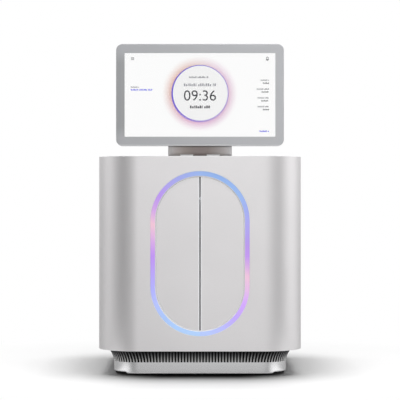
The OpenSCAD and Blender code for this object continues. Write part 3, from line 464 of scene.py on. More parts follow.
# %% [markdown]
# One large softbox hangs over the object and makes the soft shadow round its foot. A second,
# low and in front, fills the upright faces without lifting that shadow.
# %% Lamps
def soft_lamp(name, place, aim, size, watts):
    """A rectangular lamp in metres that looks at a point and isn't seen itself."""
    data = bpy.data.lights.new(name, "AREA")
    data.shape = "RECTANGLE"
    data.size, data.size_y = size
    data.energy = watts
    lamp = bpy.data.objects.new(name, data)
    lamp.location = place
    lamp.rotation_euler = (Vector(aim) - Vector(place)).to_track_quat("-Z", "Y").to_euler()
    lamp.visible_camera = lamp.visible_glossy = False
    bpy.context.collection.objects.link(lamp)


soft_lamp("overhead_softbox", (0.0, -0.25, 2.3), (0, -0.05, 0), (2.0, 2.0), 58)
soft_lamp("low_front_fill", (0.3, -3.6, 0.75), (0, 0, 0.3), (2.4, 0.9), 26)

# %% [markdown]
# Every piece is finished the same way: the mesh gets smooth shading with its real edges kept
# sharp, weighted normals keep large flat faces flat beside small round ones, and the piece
# is tied to its body, its material slot and the CAD nodes that it stands for.
# %% Finishing helper
CABINET_MIDDLE = Vector((0, 0, 0.24))
MERGE = 0.002  # millimetres


def face_outwards(bm):
    """Turns the faces of an open sheet away from the cabinet's middle."""
    for face in bm.faces:
        face.normal_update()
        if face.normal.dot(face.calc_center_median() - CABINET_MIDDLE) < 0:
            face.normal_flip()


def piece(bm, name, body, material, stands_for=(), angle=35, bevel=0.0, segments=2,
          open_sheet=False, second=None):
    """Makes the finished object of a bmesh that is already in its place. Its bevels, and the
    faces with index 1, get the second material."""
    bmesh.ops.remove_doubles(bm, verts=bm.verts, dist=MERGE * MM)
    bmesh.ops.recalc_face_normals(bm, faces=bm.faces)
    if open_sheet:
        face_outwards(bm)
    mesh = bpy.data.meshes.new(name)
    bm.to_mesh(mesh)
    bm.free()
    mesh.polygons.foreach_set("use_smooth", [True] * len(mesh.polygons))
    mesh.set_sharp_from_angle(angle=math.radians(angle))
    mesh.materials.append(material)
    if second:
        mesh.materials.append(second)
    obj = bpy.data.objects.new(name, mesh)
    bpy.context.collection.objects.link(obj)
    if bevel:
        rounding = obj.modifiers.new("rounded_edges", "BEVEL")
        rounding.width = bevel * MM
        rounding.segments = segments
        rounding.limit_method = "ANGLE"
        rounding.angle_limit = math.radians(angle)
        rounding.harden_normals = True
        rounding.material = 1 if second else -1
    weights = obj.modifiers.new("flat_faces_stay_flat", "WEIGHTED_NORMAL")
    weights.keep_sharp = True
    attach(obj, body)
    if stands_for:
        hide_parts(*stands_for)
    return obj


# %% [markdown]
# Nearly every outline here is a rounded rectangle: the cabinet's plan, the monitor, the
# stadium of the light ring. So one helper lays such an outline as a closed loop of edges,
# upright or flat, and a solid is a row of loops bridged one to the next. All the loops have
# the same number of points, so that bridging gives clean four-sided faces.
# %% Loops and bridges
ARC_STEPS = 20


def rounded_loop(bm, half_w, low, high, radius, y=None, z=None, radius_high=None, x=0.0):
    """A closed loop in mm, upright at y or lying flat at z. Corners may differ low and high."""
    count = ARC_STEPS + 1
    verts = bmesh.ops.create_circle(bm, segments=4 * count, radius=1)["verts"]
    for number, vert in enumerate(verts):
        quarter, step = divmod(number, count)
        angle = math.radians(90 * (quarter + step / ARC_STEPS))
        r = radius if radius_high is None or quarter > 1 else radius_high
        across = x + (half_w - r) * (1 if quarter in (0, 3) else -1) + r * math.cos(angle)
        along = (high - r if quarter < 2 else low + r) + r * math.sin(angle)
        vert.co = Vector((across, along, z) if y is None else (across, y, along)) * MM
    return list(dict.fromkeys(edge for vert in verts for edge in vert.link_edges))


def bridge(bm, *loops):
    """Walls from each loop to the next. The second is held a metre off while it is joined,
    because the operator can't tell which way round two loops in one plane go."""
    for first, second in zip(loops, loops[1:]):
        verts = list(dict.fromkeys(vert for edge in second for vert in edge.verts))
        lying = max(v.co.y for v in verts) - min(v.co.y for v in verts) > 0.1 * MM
        off = Vector((0, 0, 1) if lying else (0, 1, 0))
        bmesh.ops.translate(bm, verts=verts, vec=off)
        bmesh.ops.bridge_loops(bm, edges=first + second)
        bmesh.ops.translate(bm, verts=verts, vec=-off)


def cap(bm, loop):
    """A flat face that closes a loop."""
    bmesh.ops.edgeloop_fill(bm, edges=loop)


# %% [markdown]
# The cabinet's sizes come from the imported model, so that the pieces here always fit it.
# Everything below is in millimetres, in the same frame as the CAD model.
# %% Sizes
def extent(node, axis):
    """The low and the high side of a CAD node in mm, along axis 0, 1 or 2."""
    low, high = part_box(node)
    return low[axis] / MM, high[axis] / MM


HALF_W = extent("front_shell", 0)[1]
FRONT_Y, SEAM_Y = extent("front_shell", 1)
SHELL_Z, TOP_Z = extent("front_shell", 2)
BACK_Y = extent("left_side_panel", 1)[1]
RETURN_X = -extent("left_side_panel", 0)[1]
FRONT_R, REAR_R = 80.0, 50.0
WALL, PANEL_GAP = 2.5, 0.8
RING_Z = (SHELL_Z + TOP_Z) / 2
RING_R = extent("ring_lens", 0)[1]
ring_low, ring_high = extent("ring_lens", 2)
RING_ARC_Z = (ring_high - ring_low) / 2 - RING_R
RING_W, RING_FIT = 10.3, 0.3
RING_INNER_R = RING_R - RING_W
print("cabinet", HALF_W, FRONT_Y, BACK_Y, SHELL_Z, TOP_Z, "ring", RING_Z, RING_R, RING_ARC_Z)


def stadium_loop(bm, radius, depth):
    """A loop round the light ring's stadium, at a depth behind the front face."""
    return rounded_loop(bm, radius, RING_Z - RING_ARC_Z - radius, RING_Z + RING_ARC_Z + radius,
                        radius, y=FRONT_Y + depth)


# %% [markdown]
# The front shell is one bent sheet. Its flat face is bridged from a sharp rectangle to the
# stadium hole. Each round corner is spun from the rectangle's upright edge, and the short
# flat side after it is extruded back to the seam. Solidify then gives the sheet its wall,
# and a bevel rounds the cut edges as a bead blast does before painting.
# %% Front shell
def upright_edge(bm, x, y, low, high):
    """One vertical edge in mm, to spin or extrude."""
    foot = bm.verts.new(Vector((x, y, low)) * MM)
    head = bm.verts.new(Vector((x, y, high)) * MM)
    return bm.edges.new((foot, head))


def sweep(bm, edge, centre=None, degrees=0.0, shift=None, steps=ARC_STEPS):
    """Spins an edge round a centre, or extrudes it by a shift, and gives the new end edge."""
    start = [edge, *edge.verts]
    if centre:
        made = bmesh.ops.spin(bm, geom=start, cent=Vector(centre) * MM, axis=(0, 0, 1),
                              angle=math.radians(degrees), steps=steps)["geom_last"]
    else:
        made = bmesh.ops.extrude_edge_only(bm, edges=[edge])["geom"]
        bmesh.ops.translate(bm, verts=[v for v in made if isinstance(v, bmesh.types.BMVert)],
                            vec=Vector(shift) * MM)
    return next(e for e in made if isinstance(e, bmesh.types.BMEdge))


def sheet_wall(obj, thickness):
    """Gives a one-sided sheet its thickness, inwards, before it is bevelled."""
    wall = obj.modifiers.new("sheet_thickness", "SOLIDIFY")
    wall.thickness = thickness * MM
    wall.offset = -1
    wall.use_even_offset = True
    obj.modifiers.move(len(obj.modifiers) - 1, 0)
    return wall


bm = bmesh.new()
flat_x = HALF_W - FRONT_R
rim = rounded_loop(bm, flat_x, SHELL_Z, TOP_Z, 0.0, y=FRONT_Y)
hole = stadium_loop(bm, RING_R - RING_FIT, 0.0)
bridge(bm, rim, hole)
for side in (-1, 1):
    edge = upright_edge(bm, side * flat_x, FRONT_Y, SHELL_Z, TOP_Z)
    edge = sweep(bm, edge, centre=(side * flat_x, FRONT_Y + FRONT_R, 0), degrees=side * 90)
    sweep(bm, edge, shift=(0, SEAM_Y - FRONT_Y - FRONT_R, 0))
# Its bevels take the pale edge colour: a painted highlight along the cut edges.
front_shell = piece(bm, "front_shell_panel", "root", satin_silver,
                    ["front_shell"], bevel=0.45, segments=3, open_sheet=True, second=pale_edge_highlight)
sheet_wall(front_shell, WALL)

# %% [markdown]
# Each side panel runs from the seam to the back, round the rear corner and a little way on
# to the rear. It is made as the shell's side is: an edge extruded, spun and extruded again.
# %% Side panels
for side, name in ((-1, "left"), (1, "right")):
    bm = bmesh.new()
    edge = upright_edge(bm, side * HALF_W, SEAM_Y + PANEL_GAP, SHELL_Z, TOP_Z)
    edge = sweep(bm, edge, shift=(0, BACK_Y - REAR_R - SEAM_Y - PANEL_GAP, 0))
    edge = sweep(bm, edge, centre=(side * (HALF_W - REAR_R), BACK_Y - REAR_R, 0),
                 degrees=side * 90)
    sweep(bm, edge, shift=(-side * (HALF_W - REAR_R - RETURN_X), 0, 0))
    panel = piece(bm, name + "_side_cover", "root", satin_silver,
                  [name + "_side_panel"], bevel=0.7, segments=3, open_sheet=True)
    sheet_wall(panel, WALL)

# %% [markdown]
# The top cover is a flat lid that sits a millimetre below the panels' rim with a fine gap
# all round. A row of plan loops makes it, the last ones drawn in for its rounded edge.
# %% Top cover
def plan_loop(bm, inset, z):
    """A loop of the cabinet's plan, set in by a distance."""
    return rounded_loop(bm, HALF_W - inset, FRONT_Y + inset, BACK_Y - inset, FRONT_R - inset,
                        z=z, radius_high=REAR_R - inset)


LID_EDGE = ((0, 3), (0, 0.6), (0.2, 0.15), (0.7, 0))  # how far in, and how far down
bm = bmesh.new()
fit, lid_z = WALL + PANEL_GAP / 2, extent("top_cover", 2)[1]
lid_loops = [plan_loop(bm, fit + inset, lid_z - drop) for inset, drop in LID_EDGE]
bridge(bm, *lid_loops)
cap(bm, lid_loops[0])
cap(bm, lid_loops[-1])
piece(bm, "top_lid", "root", lid_paint, ["top_cover"])

# %% [markdown]
# The light ring is a frosted diffuser that glows in a slow drift of colours, from pink over
# violet to blue. The drift runs round the ring, so the shader takes the angle of each point
# about the ring's middle and looks it up in a ramp. The frosting leaves only a weak mirror
# image of the room, and the skin itself is dark, so what the eye gets is the glow alone.
# %% Diffuser material
RING_COLOURS = ("#98B5EB", "#8FB1E9", "#94B6EF", "#99B8EF", "#A1AFF1", "#AEA8F0", "#B29FEE",
                "#BA97EC", "#C296EF", "#D8ACE5", "#F0C5DD", "#E7BDE8", "#D4A7FE", "#C2A8FB",
                "#BBBCFC", "#B6CAFD", "#B1D1FB", "#ACCEFC", "#A8C5F9", "#B5C2FC", "#B0B1FC",
                "#B6A5F9", "#BB9BF4", "#BE91F1", "#D0A1EB", "#E1B4E1", "#F1C5D6", "#D3A6E6",
                "#BA94EF", "#ACA5EC", "#9FACEA")
glow_material, tree, output, coordinates = new_material("frosted_light_ring_diffuser")
split = add(tree, "ShaderNodeSeparateXYZ", {0: coordinates})
height = add(tree, "ShaderNodeMath", {0: split.outputs["Z"], 1: RING_Z * MM},
             operation="SUBTRACT")
turn = add(tree, "ShaderNodeMath", {0: split.outputs["X"], 1: height.outputs[0]},
           operation="ARCTAN2")
share = add(tree, "ShaderNodeMapRange", {"Value": turn.outputs[0], "From Min": -math.pi,
                                         "From Max": math.pi})
# The ramp starts at the bottom, so the colours, which start at the top, are turned by half.
past_half = len(RING_COLOURS) // 2 + 1
turned = RING_COLOURS[past_half:] + RING_COLOURS[:past_half]
stops = [((number + 0.5) / len(turned), linear(colour)) for number, colour in enumerate(turned)]
colour = add(tree, "ShaderNodeValToRGB", {0: share.outputs["Result"]}, stops)
normal = grained(tree, coordinates, 1.5, 0.01)[1]
skin = add(tree, "ShaderNodeBsdfPrincipled",
           {"Base Color": linear("#26262C"), "Roughness": 0.45, "Specular IOR Level": 0.2,
            "Normal": normal, "Emission Color": colour.outputs["Color"],
            "Emission Strength": 0.98})
tree.links.new(skin.outputs[0], output)

# %% [markdown]
# The diffuser is a bar with rounded front edges, bent to the stadium. Between it and the
# doors stands a narrow trim that slopes back to the doors' face, so it catches a little
# light along the bottom of the ring. Both are closed rows of loops, one for each point of
# their profile.
# %% Light ring
RING_DEPTH = 6.0
GLOW_INNER_R, GLOW_OUTER_R = RING_INNER_R + 1.1, RING_R - 2 * RING_FIT
TRIM_OUTER_R, TRIM_INNER_R = GLOW_INNER_R - 0.05, RING_INNER_R - 1.0
# Each profile gives radii and how far behind the cabinet's face they lie.
GLOW_PROFILE = ((GLOW_INNER_R, RING_DEPTH), (GLOW_INNER_R, 0.8), (GLOW_INNER_R + 0.3, 0.3),
                (GLOW_INNER_R + 0.8, 0.05), (GLOW_INNER_R + 1.4, 0.0), (GLOW_OUTER_R - 0.6, 0.0),
                (GLOW_OUTER_R - 0.15, 0.15), (GLOW_OUTER_R, 0.6), (GLOW_OUTER_R, RING_DEPTH))
TRIM_PROFILE = ((TRIM_OUTER_R, RING_DEPTH), (TRIM_OUTER_R, 0.5), (RING_INNER_R + 0.6, 0.6),
                (TRIM_INNER_R + 0.2, 1.8), (TRIM_INNER_R, 2.2), (TRIM_INNER_R, RING_DEPTH))
for name, profile, material, stands_for in (
        ("light_ring_diffuser", GLOW_PROFILE, glow_material, ["ring_lens"]),
        ("light_ring_trim", TRIM_PROFILE, trim_paint, [])):
    bm = bmesh.new()
    loops = [stadium_loop(bm, radius, depth) for radius, depth in profile]
    bridge(bm, *loops, loops[0])
    piece(bm, name, "root", material, stands_for)

# %% [markdown]
# The two doors are the same silver as the cabinet, and sit a little behind its face inside
# the ring. Each one is half of the stadium: the whole outline is cut at the seam by a plane.
# A second cut parts off a narrow strip along the seam. That strip and the doors' rounded
# edges get a pale painted highlight, so the dark seam stands between two light lines.
# %% Doors
EDGE_STRIP = 1.9
DOOR_SEAM, DOOR_R = extent("right_door_skin", 0)
skin_front, skin_back = extent("right_door_skin", 1)
print("door set back", skin_front - FRONT_Y, DOOR_R, RING_INNER_R)


def half_stadium(bm, side):
    """One door's plate: the half of the stadium on one side of the seam."""
    front, back = [stadium_loop(bm, DOOR_R, y - FRONT_Y) for y in (skin_front, skin_back)]
    bridge(bm, front, back)
    cap(bm, front)
    cap(bm, back)
    cut = bmesh.ops.bisect_plane(bm, geom=bm.verts[:] + bm.edges[:] + bm.faces[:],
                                 plane_co=(side * DOOR_SEAM * MM, 0, 0),
                                 plane_no=(-side, 0, 0), clear_outer=True)["geom_cut"]
    bmesh.ops.edgeloop_fill(bm, edges=[e for e in cut if isinstance(e, bmesh.types.BMEdge)])
    strip = side * (DOOR_SEAM + EDGE_STRIP)
    bmesh.ops.bisect_plane(bm, geom=bm.verts[:] + bm.edges[:] + bm.faces[:],
                           plane_co=(strip * MM, 0, 0), plane_no=(1, 0, 0))
    for face in bm.faces:
        if abs(face.calc_center_median().x) < abs(strip) * MM:
            face.material_index = 1


for side, name in ((-1, "left"), (1, "right")):
    bm = bmesh.new()
    half_stadium(bm, side)
    piece(bm, name + "_door_panel", name + "_door", satin_silver,
          [name + "_door_skin"], bevel=0.7, segments=3, second=pale_edge_highlight)

# %% [markdown]
# A soft lip along each door's free edge closes the seam against light and dust. It lies a
# little behind the door's face, so the seam still looks dark. Each lip is a strip with
# rounded edges, bridged from a loop at its foot to one at its head.
# %% Door lips
LIP_W, LIP_T, LIP_R, LIP_GAP, LIP_BACK, LIP_SHORT = 1.35, 1.8, 0.5, 0.15, 1.6, 0.6
lip_y = skin_front + LIP_BACK
reach = RING_ARC_Z + DOOR_R - LIP_SHORT
for side, name in ((-1, "left"), (1, "right")):
    bm = bmesh.new()
    lip_loops = [rounded_loop(bm, LIP_W / 2, lip_y, lip_y + LIP_T, LIP_R, z=z,
                              x=side * (LIP_GAP + LIP_W / 2))
                 for z in (RING_Z - reach, RING_Z + reach)]
    bridge(bm, *lip_loops)
    for loop in lip_loops:
        cap(bm, loop)
    piece(bm, name + "_door_lip", name + "_door", lip_rubber)

# %% [markdown]
# The monitor's frame is moulded and painted a satin grey with a little metal in it. Light
# and shade are painted into its colour: painted light that grows a little to the right, a
# painted shade on the left upright, and a painted highlight along the lower edge, where the
# cabinet's bright top would light it.
# %% Monitor paint
MON_HALF_W = extent("monitor_bezel", 0)[1]
MON_Y, BEZEL_BACK = extent("monitor_bezel", 1)
MON_LOW, MON_HIGH = extent("monitor_bezel", 2)
MON_BACK = extent("monitor_back", 1)[1]
SCREEN_Z = (MON_LOW + MON_HIGH) / 2
# The painted shade on the left upright fades out between these heights and these shares.
PAINTED_SHADE_HALF_H = (62, 84)  # the dark stretch fades out between these, up and down
PAINTED_SHADE_SHARE = (0.055, 0.075)  # and between these, as shares of the width from the left
# How high the painted highlight along the lower edge reaches, in mm.
PAINTED_HIGHLIGHT_FOOT_H = 3
monitor_paint, tree, output, coordinates = new_material("monitor_frame_paint_with_painted_light")
split = add(tree, "ShaderNodeSeparateXYZ", {0: coordinates})
across = add(tree, "ShaderNodeMapRange",
             {"Value": split.outputs["X"], "From Min": -MON_HALF_W * MM,
              "From Max": MON_HALF_W * MM}).outputs["Result"]
# Painted light: the grey grows a little lighter towards the right.
even = add(tree, "ShaderNodeValToRGB", {0: across},
           [(0.0, linear("#AFB0B3")), (0.6, linear("#B7B8BB")), (1.0, linear("#BBBCBF"))])
height = add(tree, "ShaderNodeMath", {0: split.outputs["Z"], 1: SCREEN_Z * MM},
             operation="SUBTRACT")
height = add(tree, "ShaderNodeMath", {0: height.outputs[0]}, operation="ABSOLUTE")
middle = add(tree, "ShaderNodeMapRange",
             {"Value": height.outputs[0], "From Min": PAINTED_SHADE_HALF_H[0] * MM,
              "From Max": PAINTED_SHADE_HALF_H[1] * MM, "To Min": 1.0, "To Max": 0.0})
left = add(tree, "ShaderNodeMapRange", {"Value": across, "From Min": PAINTED_SHADE_SHARE[0],
                                        "From Max": PAINTED_SHADE_SHARE[1], "To Min": 1.0, "To Max": 0.0})
# Painted shade on the left upright, strongest between its ends.
dark = add(tree, "ShaderNodeMath", {0: middle.outputs["Result"], 1: left.outputs["Result"]},
           operation="MULTIPLY")
painted_left_shade = add(tree, "ShaderNodeMix", {0: dark.outputs[0], 6: even.outputs["Color"],
                                     7: linear("#A0A1A3")}, data_type="RGBA")
# Painted highlight along the lower edge.
foot = add(tree, "ShaderNodeMapRange",
           {"Value": split.outputs["Z"], "From Min": MON_LOW * MM,
            "From Max": (MON_LOW + PAINTED_HIGHLIGHT_FOOT_H) * MM, "To Min": 1.0, "To Max": 0.0})
painted_foot_highlight = add(tree, "ShaderNodeMix", {0: foot.outputs["Result"], 6: painted_left_shade.outputs[2],
                                    7: linear("#EDEDEF")}, data_type="RGBA")
noise, normal = grained(tree, coordinates, 1.2, 0.012)
gloss = add(tree, "ShaderNodeMapRange",
            {"Value": noise, "To Min": 0.38, "To Max": 0.46, **GRAIN_SPREAD})
paint_shader = add(tree, "ShaderNodeBsdfPrincipled",
                   {"Base Color": painted_foot_highlight.outputs[2], "Metallic": 0.25,
                    "Roughness": gloss.outputs["Result"], "Normal": normal})
tree.links.new(paint_shader.outputs[0], output)

# %% [markdown]
# The frame is one moulding: a rounded outline, a soft front edge, a flat face and an opening
# that steps down to the glass. Loops in the order of that profile make it.
# %% Monitor frame
MON_R, BEZEL_W, BEZEL_MORE = 12.5, 16.5, 1.5
MIN_CORNER = 0.8


def monitor_loop(bm, inset, y, radius=None, more=0.0):
    """A loop of the monitor's outline, set in by a distance, and more above and below."""
    corner = max(MON_R - inset, MIN_CORNER) if radius is None else radius
    return rounded_loop(bm, MON_HALF_W - inset, MON_LOW + inset + more, MON_HIGH - inset - more,
                        corner, y=y)


# The outer rows give how far in and how far back, and the opening's rows a corner as well.
FRAME_T = BEZEL_BACK - MON_Y
OUTER_EDGE = ((0, FRAME_T), (0, 1.6), (0.25, 0.7), (0.8, 0.2), (1.7, 0))
OPENING_EDGE = ((BEZEL_W - 0.5, 0, 1.4), (BEZEL_W - 0.1, 0.15, 1.1), (BEZEL_W, 0.5, 1.0),
                (BEZEL_W, FRAME_T, 1.0))
bm = bmesh.new()
frame_loops = [monitor_loop(bm, inset, MON_Y + back) for inset, back in OUTER_EDGE]
frame_loops += [monitor_loop(bm, inset, MON_Y + back, corner, BEZEL_MORE)
                for inset, back, corner in OPENING_EDGE]
bridge(bm, *frame_loops, frame_loops[0])
piece(bm, "monitor_frame", "monitor", monitor_paint, ["monitor_bezel"], angle=50)

# %% [markdown]
# The back is a shallow moulded shell with a rolled rim. Its flat face is filled between the
# rim's last loop and the vent slots, and each slot is then bridged inwards and closed, so the
# slots are real recesses.
# %% Monitor back
BACK_ROLL, ROLL_STEPS = 5.0, 6
SLOT_COUNT, SLOT_PITCH, SLOT_W, SLOT_H = 17, 8.0, 3.0, 14.0
SLOT_LOW, SLOT_DEPTH, SLOT_R = MON_HIGH - 24, 2.2, 1.45
bm = bmesh.new()
back_loops = [monitor_loop(bm, 0, BEZEL_BACK)]
for step in range(ROLL_STEPS + 1):
    turn = math.radians(90 * step / ROLL_STEPS)
    back_loops.append(monitor_loop(bm, BACK_ROLL * (1 - math.cos(turn)),
                                   MON_BACK - BACK_ROLL * (1 - math.sin(turn))))
bridge(bm, *back_loops)
edges = list(back_loops[-1])
slots = []
for number in range(SLOT_COUNT):
    place = (number - (SLOT_COUNT - 1) / 2) * SLOT_PITCH
    slots.append([rounded_loop(bm, SLOT_W / 2, SLOT_LOW, SLOT_LOW + SLOT_H, SLOT_R, y=y, x=place)
                  for y in (MON_BACK, MON_BACK - SLOT_DEPTH)])
    edges += slots[-1][0]
bmesh.ops.triangle_fill(bm, edges=edges, use_beauty=True)
for rim, floor in slots:
    bridge(bm, rim, floor)
    cap(bm, floor)
    # The slots' floors and the walls that meet them are black: painted shade for the dark inside
    # a vent.
    for face in {face for edge in floor for face in edge.link_faces}:
        face.material_index = 1
piece(bm, "monitor_rear_shell", "monitor", grey_abs, ["monitor_back"],
      angle=40, second=black_abs)

# %% [markdown]
# The screen shows the instrument's start page. A lit panel is an even white ground with
# drawings on it, so the ground is one emitting sheet, and a halo of colour is worked out from
# the distance to the dial's middle.
# %% Screen ground
glass_front, glass_back = extent("monitor_glass", 1)
PICTURE_Y = glass_back - 0.3
DIAL_Z, DIAL_RIM_R, HALO_FROM_R, HALO_R = 2.5, 55.8, 54.0, 76.0
HALO_FALL = 1.5  # over one, so that the halo is strong only close to the dial
PAGE_UNDER = 2  # how far the page reaches under the frame
# From the bottom, round by the left, the top and the right, back to the bottom.
HALO_COLOURS = ("#D7A0C8", "#D5A0BE", "#D8AAB2", "#D6A598", "#DCAA9B", "#D9B4A8", "#DDC6C6",
                "#DCBCD0", "#D8B4D0", "#D8B3C8", "#D5ADC8", "#D0A0C3", "#D7A0C8")
screen_material, tree, output, coordinates = new_material("backlit_lcd_page")
centred = add(tree, "ShaderNodeMapping",
              {"Vector": coordinates, "Location": (0, 0, -(SCREEN_Z + DIAL_Z) * MM)})
split = add(tree, "ShaderNodeSeparateXYZ", {0: centred.outputs[0]})
flat = add(tree, "ShaderNodeCombineXYZ", {"X": split.outputs["X"], "Z": split.outputs["Z"]})
radius = add(tree, "ShaderNodeVectorMath", {0: flat.outputs[0]}, operation="LENGTH")
turn = add(tree, "ShaderNodeMath", {0: split.outputs["X"], 1: split.outputs["Z"]},
           operation="ARCTAN2")
share = add(tree, "ShaderNodeMapRange", {"Value": turn.outputs[0], "From Min": -math.pi,
                                         "From Max": math.pi})
halo = add(tree, "ShaderNodeValToRGB", {0: share.outputs["Result"]}, even_stops(HALO_COLOURS))
fade = add(tree, "ShaderNodeMapRange",
           {"Value": radius.outputs["Value"], "From Min": HALO_FROM_R * MM,
            "From Max": HALO_R * MM, "To Min": 1.0, "To Max": 0.0})
soft_fade = add(tree, "ShaderNodeMath", {0: fade.outputs["Result"], 1: HALO_FALL},
                operation="POWER")
page = add(tree, "ShaderNodeMix", {0: soft_fade.outputs[0], 6: linear("#FAFAFA"),
                                   7: halo.outputs["Color"]}, data_type="RGBA")
lit = add(tree, "ShaderNodeEmission", {"Color": page.outputs[2], "Strength": 1.0})
tree.links.new(lit.outputs[0], output)

bm = bmesh.new()
page_loops = [monitor_loop(bm, BEZEL_W - PAGE_UNDER, y, 1.0)
              for y in (PICTURE_Y, extent("display_panel", 1)[1])]
bridge(bm, *page_loops)
cap(bm, page_loops[0])
cap(bm, page_loops[1])
piece(bm, "screen_page", "monitor", screen_material, ["display_panel"])

# %% [markdown]
# Each ink of the page is a lit colour. Most are even, and the dial's rim changes across the
# page, so an ink is a ramp from side to side that may be turned about the dial's middle.
# %% Page inks
def printed(name, colours, axis_turn=0.0):
    """A lit colour of the page, even or changing across the page from side to side."""
    material, tree, output, coordinates = new_material(name)
    centred = add(tree, "ShaderNodeMapping",
                  {"Vector": coordinates, "Location": (0, 0, -(SCREEN_Z + DIAL_Z) * MM)})
    turned = add(tree, "ShaderNodeMapping", {"Vector": centred.outputs[0],
                                             "Rotation": (0, math.radians(axis_turn), 0)})
    split = add(tree, "ShaderNodeSeparateXYZ", {0: turned.outputs[0]})
    share = add(tree, "ShaderNodeMapRange",
                {"Value": split.outputs["X"], "From Min": -DIAL_RIM_R * MM,
                 "From Max": DIAL_RIM_R * MM})
    ink = add(tree, "ShaderNodeValToRGB", {0: share.outputs["Result"]}, even_stops(colours))
    lit = add(tree, "ShaderNodeEmission", {"Color": ink.outputs["Color"], "Strength": 1.0})
    tree.links.new(lit.outputs[0], output)
    return material


# From blue at the upper left to lavender at the lower right, like light on a lens.
dial_rim_ink = printed("dial_rim_ink", ["#5A50CE", "#7A68D2", "#B09CD4"], axis_turn=-55)
# Barely darker than the ground, so the dial reads as a face of its own.
dial_face_ink = printed("dial_face_ink", ["#EFEFEF", "#F1F1F1"])
# Four inks for small things: near black, two greys and one blue for what can be pressed.
dark_ink = printed("dark_page_ink", ["#2E2E34", "#28282E"])
grey_ink = printed("grey_page_ink", ["#78787E", "#707076"])
pale_ink = printed("pale_page_ink", ["#9C9CA2", "#94949A"])
blue_ink = printed("blue_page_ink", ["#3A3AE0", "#3434DC"])

# %% [markdown]
# The drawings are thin sheets just in front of the ground, each a little in front of the one
# that it covers. Three helpers make them: a circle, a bar, and a line of bars that stands
# for small text which nobody could read at this size.
# %% Drawing on the page
INK_DEPTH = 0.06
# Shares of a letter's height.
NARROW, WIDE, LOW_LETTER, LETTER_GAP, WORD_GAP = 0.30, 0.52, 0.7, 0.22, 0.62


def page_circle(bm, radius, depth, right=0.0, up=0.0):
    """A circle about the dial's middle, or a little to the right and up from it."""
    middle = SCREEN_Z + DIAL_Z + up
    return rounded_loop(bm, radius, middle - radius, middle + radius, radius,
                        y=PICTURE_Y - depth, x=right)


def page_bar(bm, left, right, z, height):
    """A bar on the page, in mm from the page's middle."""
    low, high = SCREEN_Z + z - height / 2, SCREEN_Z + z + height / 2
    bm.faces.new([bm.verts.new(Vector((x, PICTURE_Y - INK_DEPTH, up)) * MM)
                  for x, up in ((left, low), (right, low), (right, high), (left, high))])


def page_line(bm, left, right, z, height):
    """A line of letter-sized bars, some tall and some low, some narrow, with gaps for words."""
    x, number = left, 0
    while x + 0.5 * height < right:
        tall, narrow = number % 3 != 1, number % 4 == 2
        width = height * (NARROW if narrow else WIDE)
        rise = height if tall else LOW_LETTER * height
        page_bar(bm, x, min(x + width, right), z - (height - rise) / 2, rise)
        number += 1
        x += width + height * (WORD_GAP if number % 7 == 0 else LETTER_GAP)


# %% [markdown]
# The dial is a pale face with a rim that is thinner at the upper right, because its inner
# circle stands a little off the middle. The rim is two bridged circles, so its edge stays
# crisp at any distance.
# %% Dial
DIAL_FACE_R, FACE_DEPTH = DIAL_RIM_R - 0.5, 0.03
RIM_W, RIM_DEPTH, RIM_RIGHT, RIM_UP = 2.3, 0.05, 0.65, 0.95
bm = bmesh.new()
cap(bm, page_circle(bm, DIAL_FACE_R, FACE_DEPTH))
piece(bm, "dial_face", "monitor", dial_face_ink, open_sheet=True)
bm = bmesh.new()
bridge(bm, page_circle(bm, DIAL_RIM_R, RIM_DEPTH),
       page_circle(bm, DIAL_RIM_R - RIM_W, RIM_DEPTH, right=RIM_RIGHT, up=RIM_UP))
piece(bm, "dial_rim", "monitor", dial_rim_ink, open_sheet=True)

# %% [markdown]
# The clock is the only writing on the page. It is Blender's own font, thinned a little, and
# made a mesh before it is placed.
# %% Clock
CLOCK_H, CLOCK_Z, CLOCK_DEPTH, THINNER = 20.2, -1.2, 0.09, -0.003


def page_text(name, words, height, centre_z, ink):
    """Generic figures on the page, centred, with digits of the given height in mm."""
    curve = bpy.data.curves.new(name, "FONT")
    curve.body, curve.offset = words, THINNER
    made = bpy.data.objects.new(name, curve)
    bpy.context.collection.objects.link(made)
    depsgraph = bpy.context.evaluated_depsgraph_get()
    mesh = bpy.data.meshes.new_from_object(made.evaluated_get(depsgraph))
    bpy.data.objects.remove(made)
    xs, ys = [[vert.co[axis] for vert in mesh.vertices] for axis in (0, 1)]
    scale = height * MM / (max(ys) - min(ys))
    bm = bmesh.new()
    bm.from_mesh(mesh)
    bmesh.ops.translate(bm, verts=bm.verts,
                        vec=(-(min(xs) + max(xs)) / 2, -(min(ys) + max(ys)) / 2, 0))
    bmesh.ops.scale(bm, verts=bm.verts, vec=(scale, scale, scale))
    bmesh.ops.rotate(bm, verts=bm.verts, matrix=Matrix.Rotation(math.radians(90), 3, "X"))
    bmesh.ops.translate(bm, verts=bm.verts,
                        vec=Vector((0, PICTURE_Y - CLOCK_DEPTH, SCREEN_Z + centre_z)) * MM)
    print(name, "is", round((max(xs) - min(xs)) * scale / MM, 1), "mm wide")
    piece(bm, name, "monitor", ink, open_sheet=True)


page_text("page_clock", "09:36", CLOCK_H, CLOCK_Z, dark_ink)

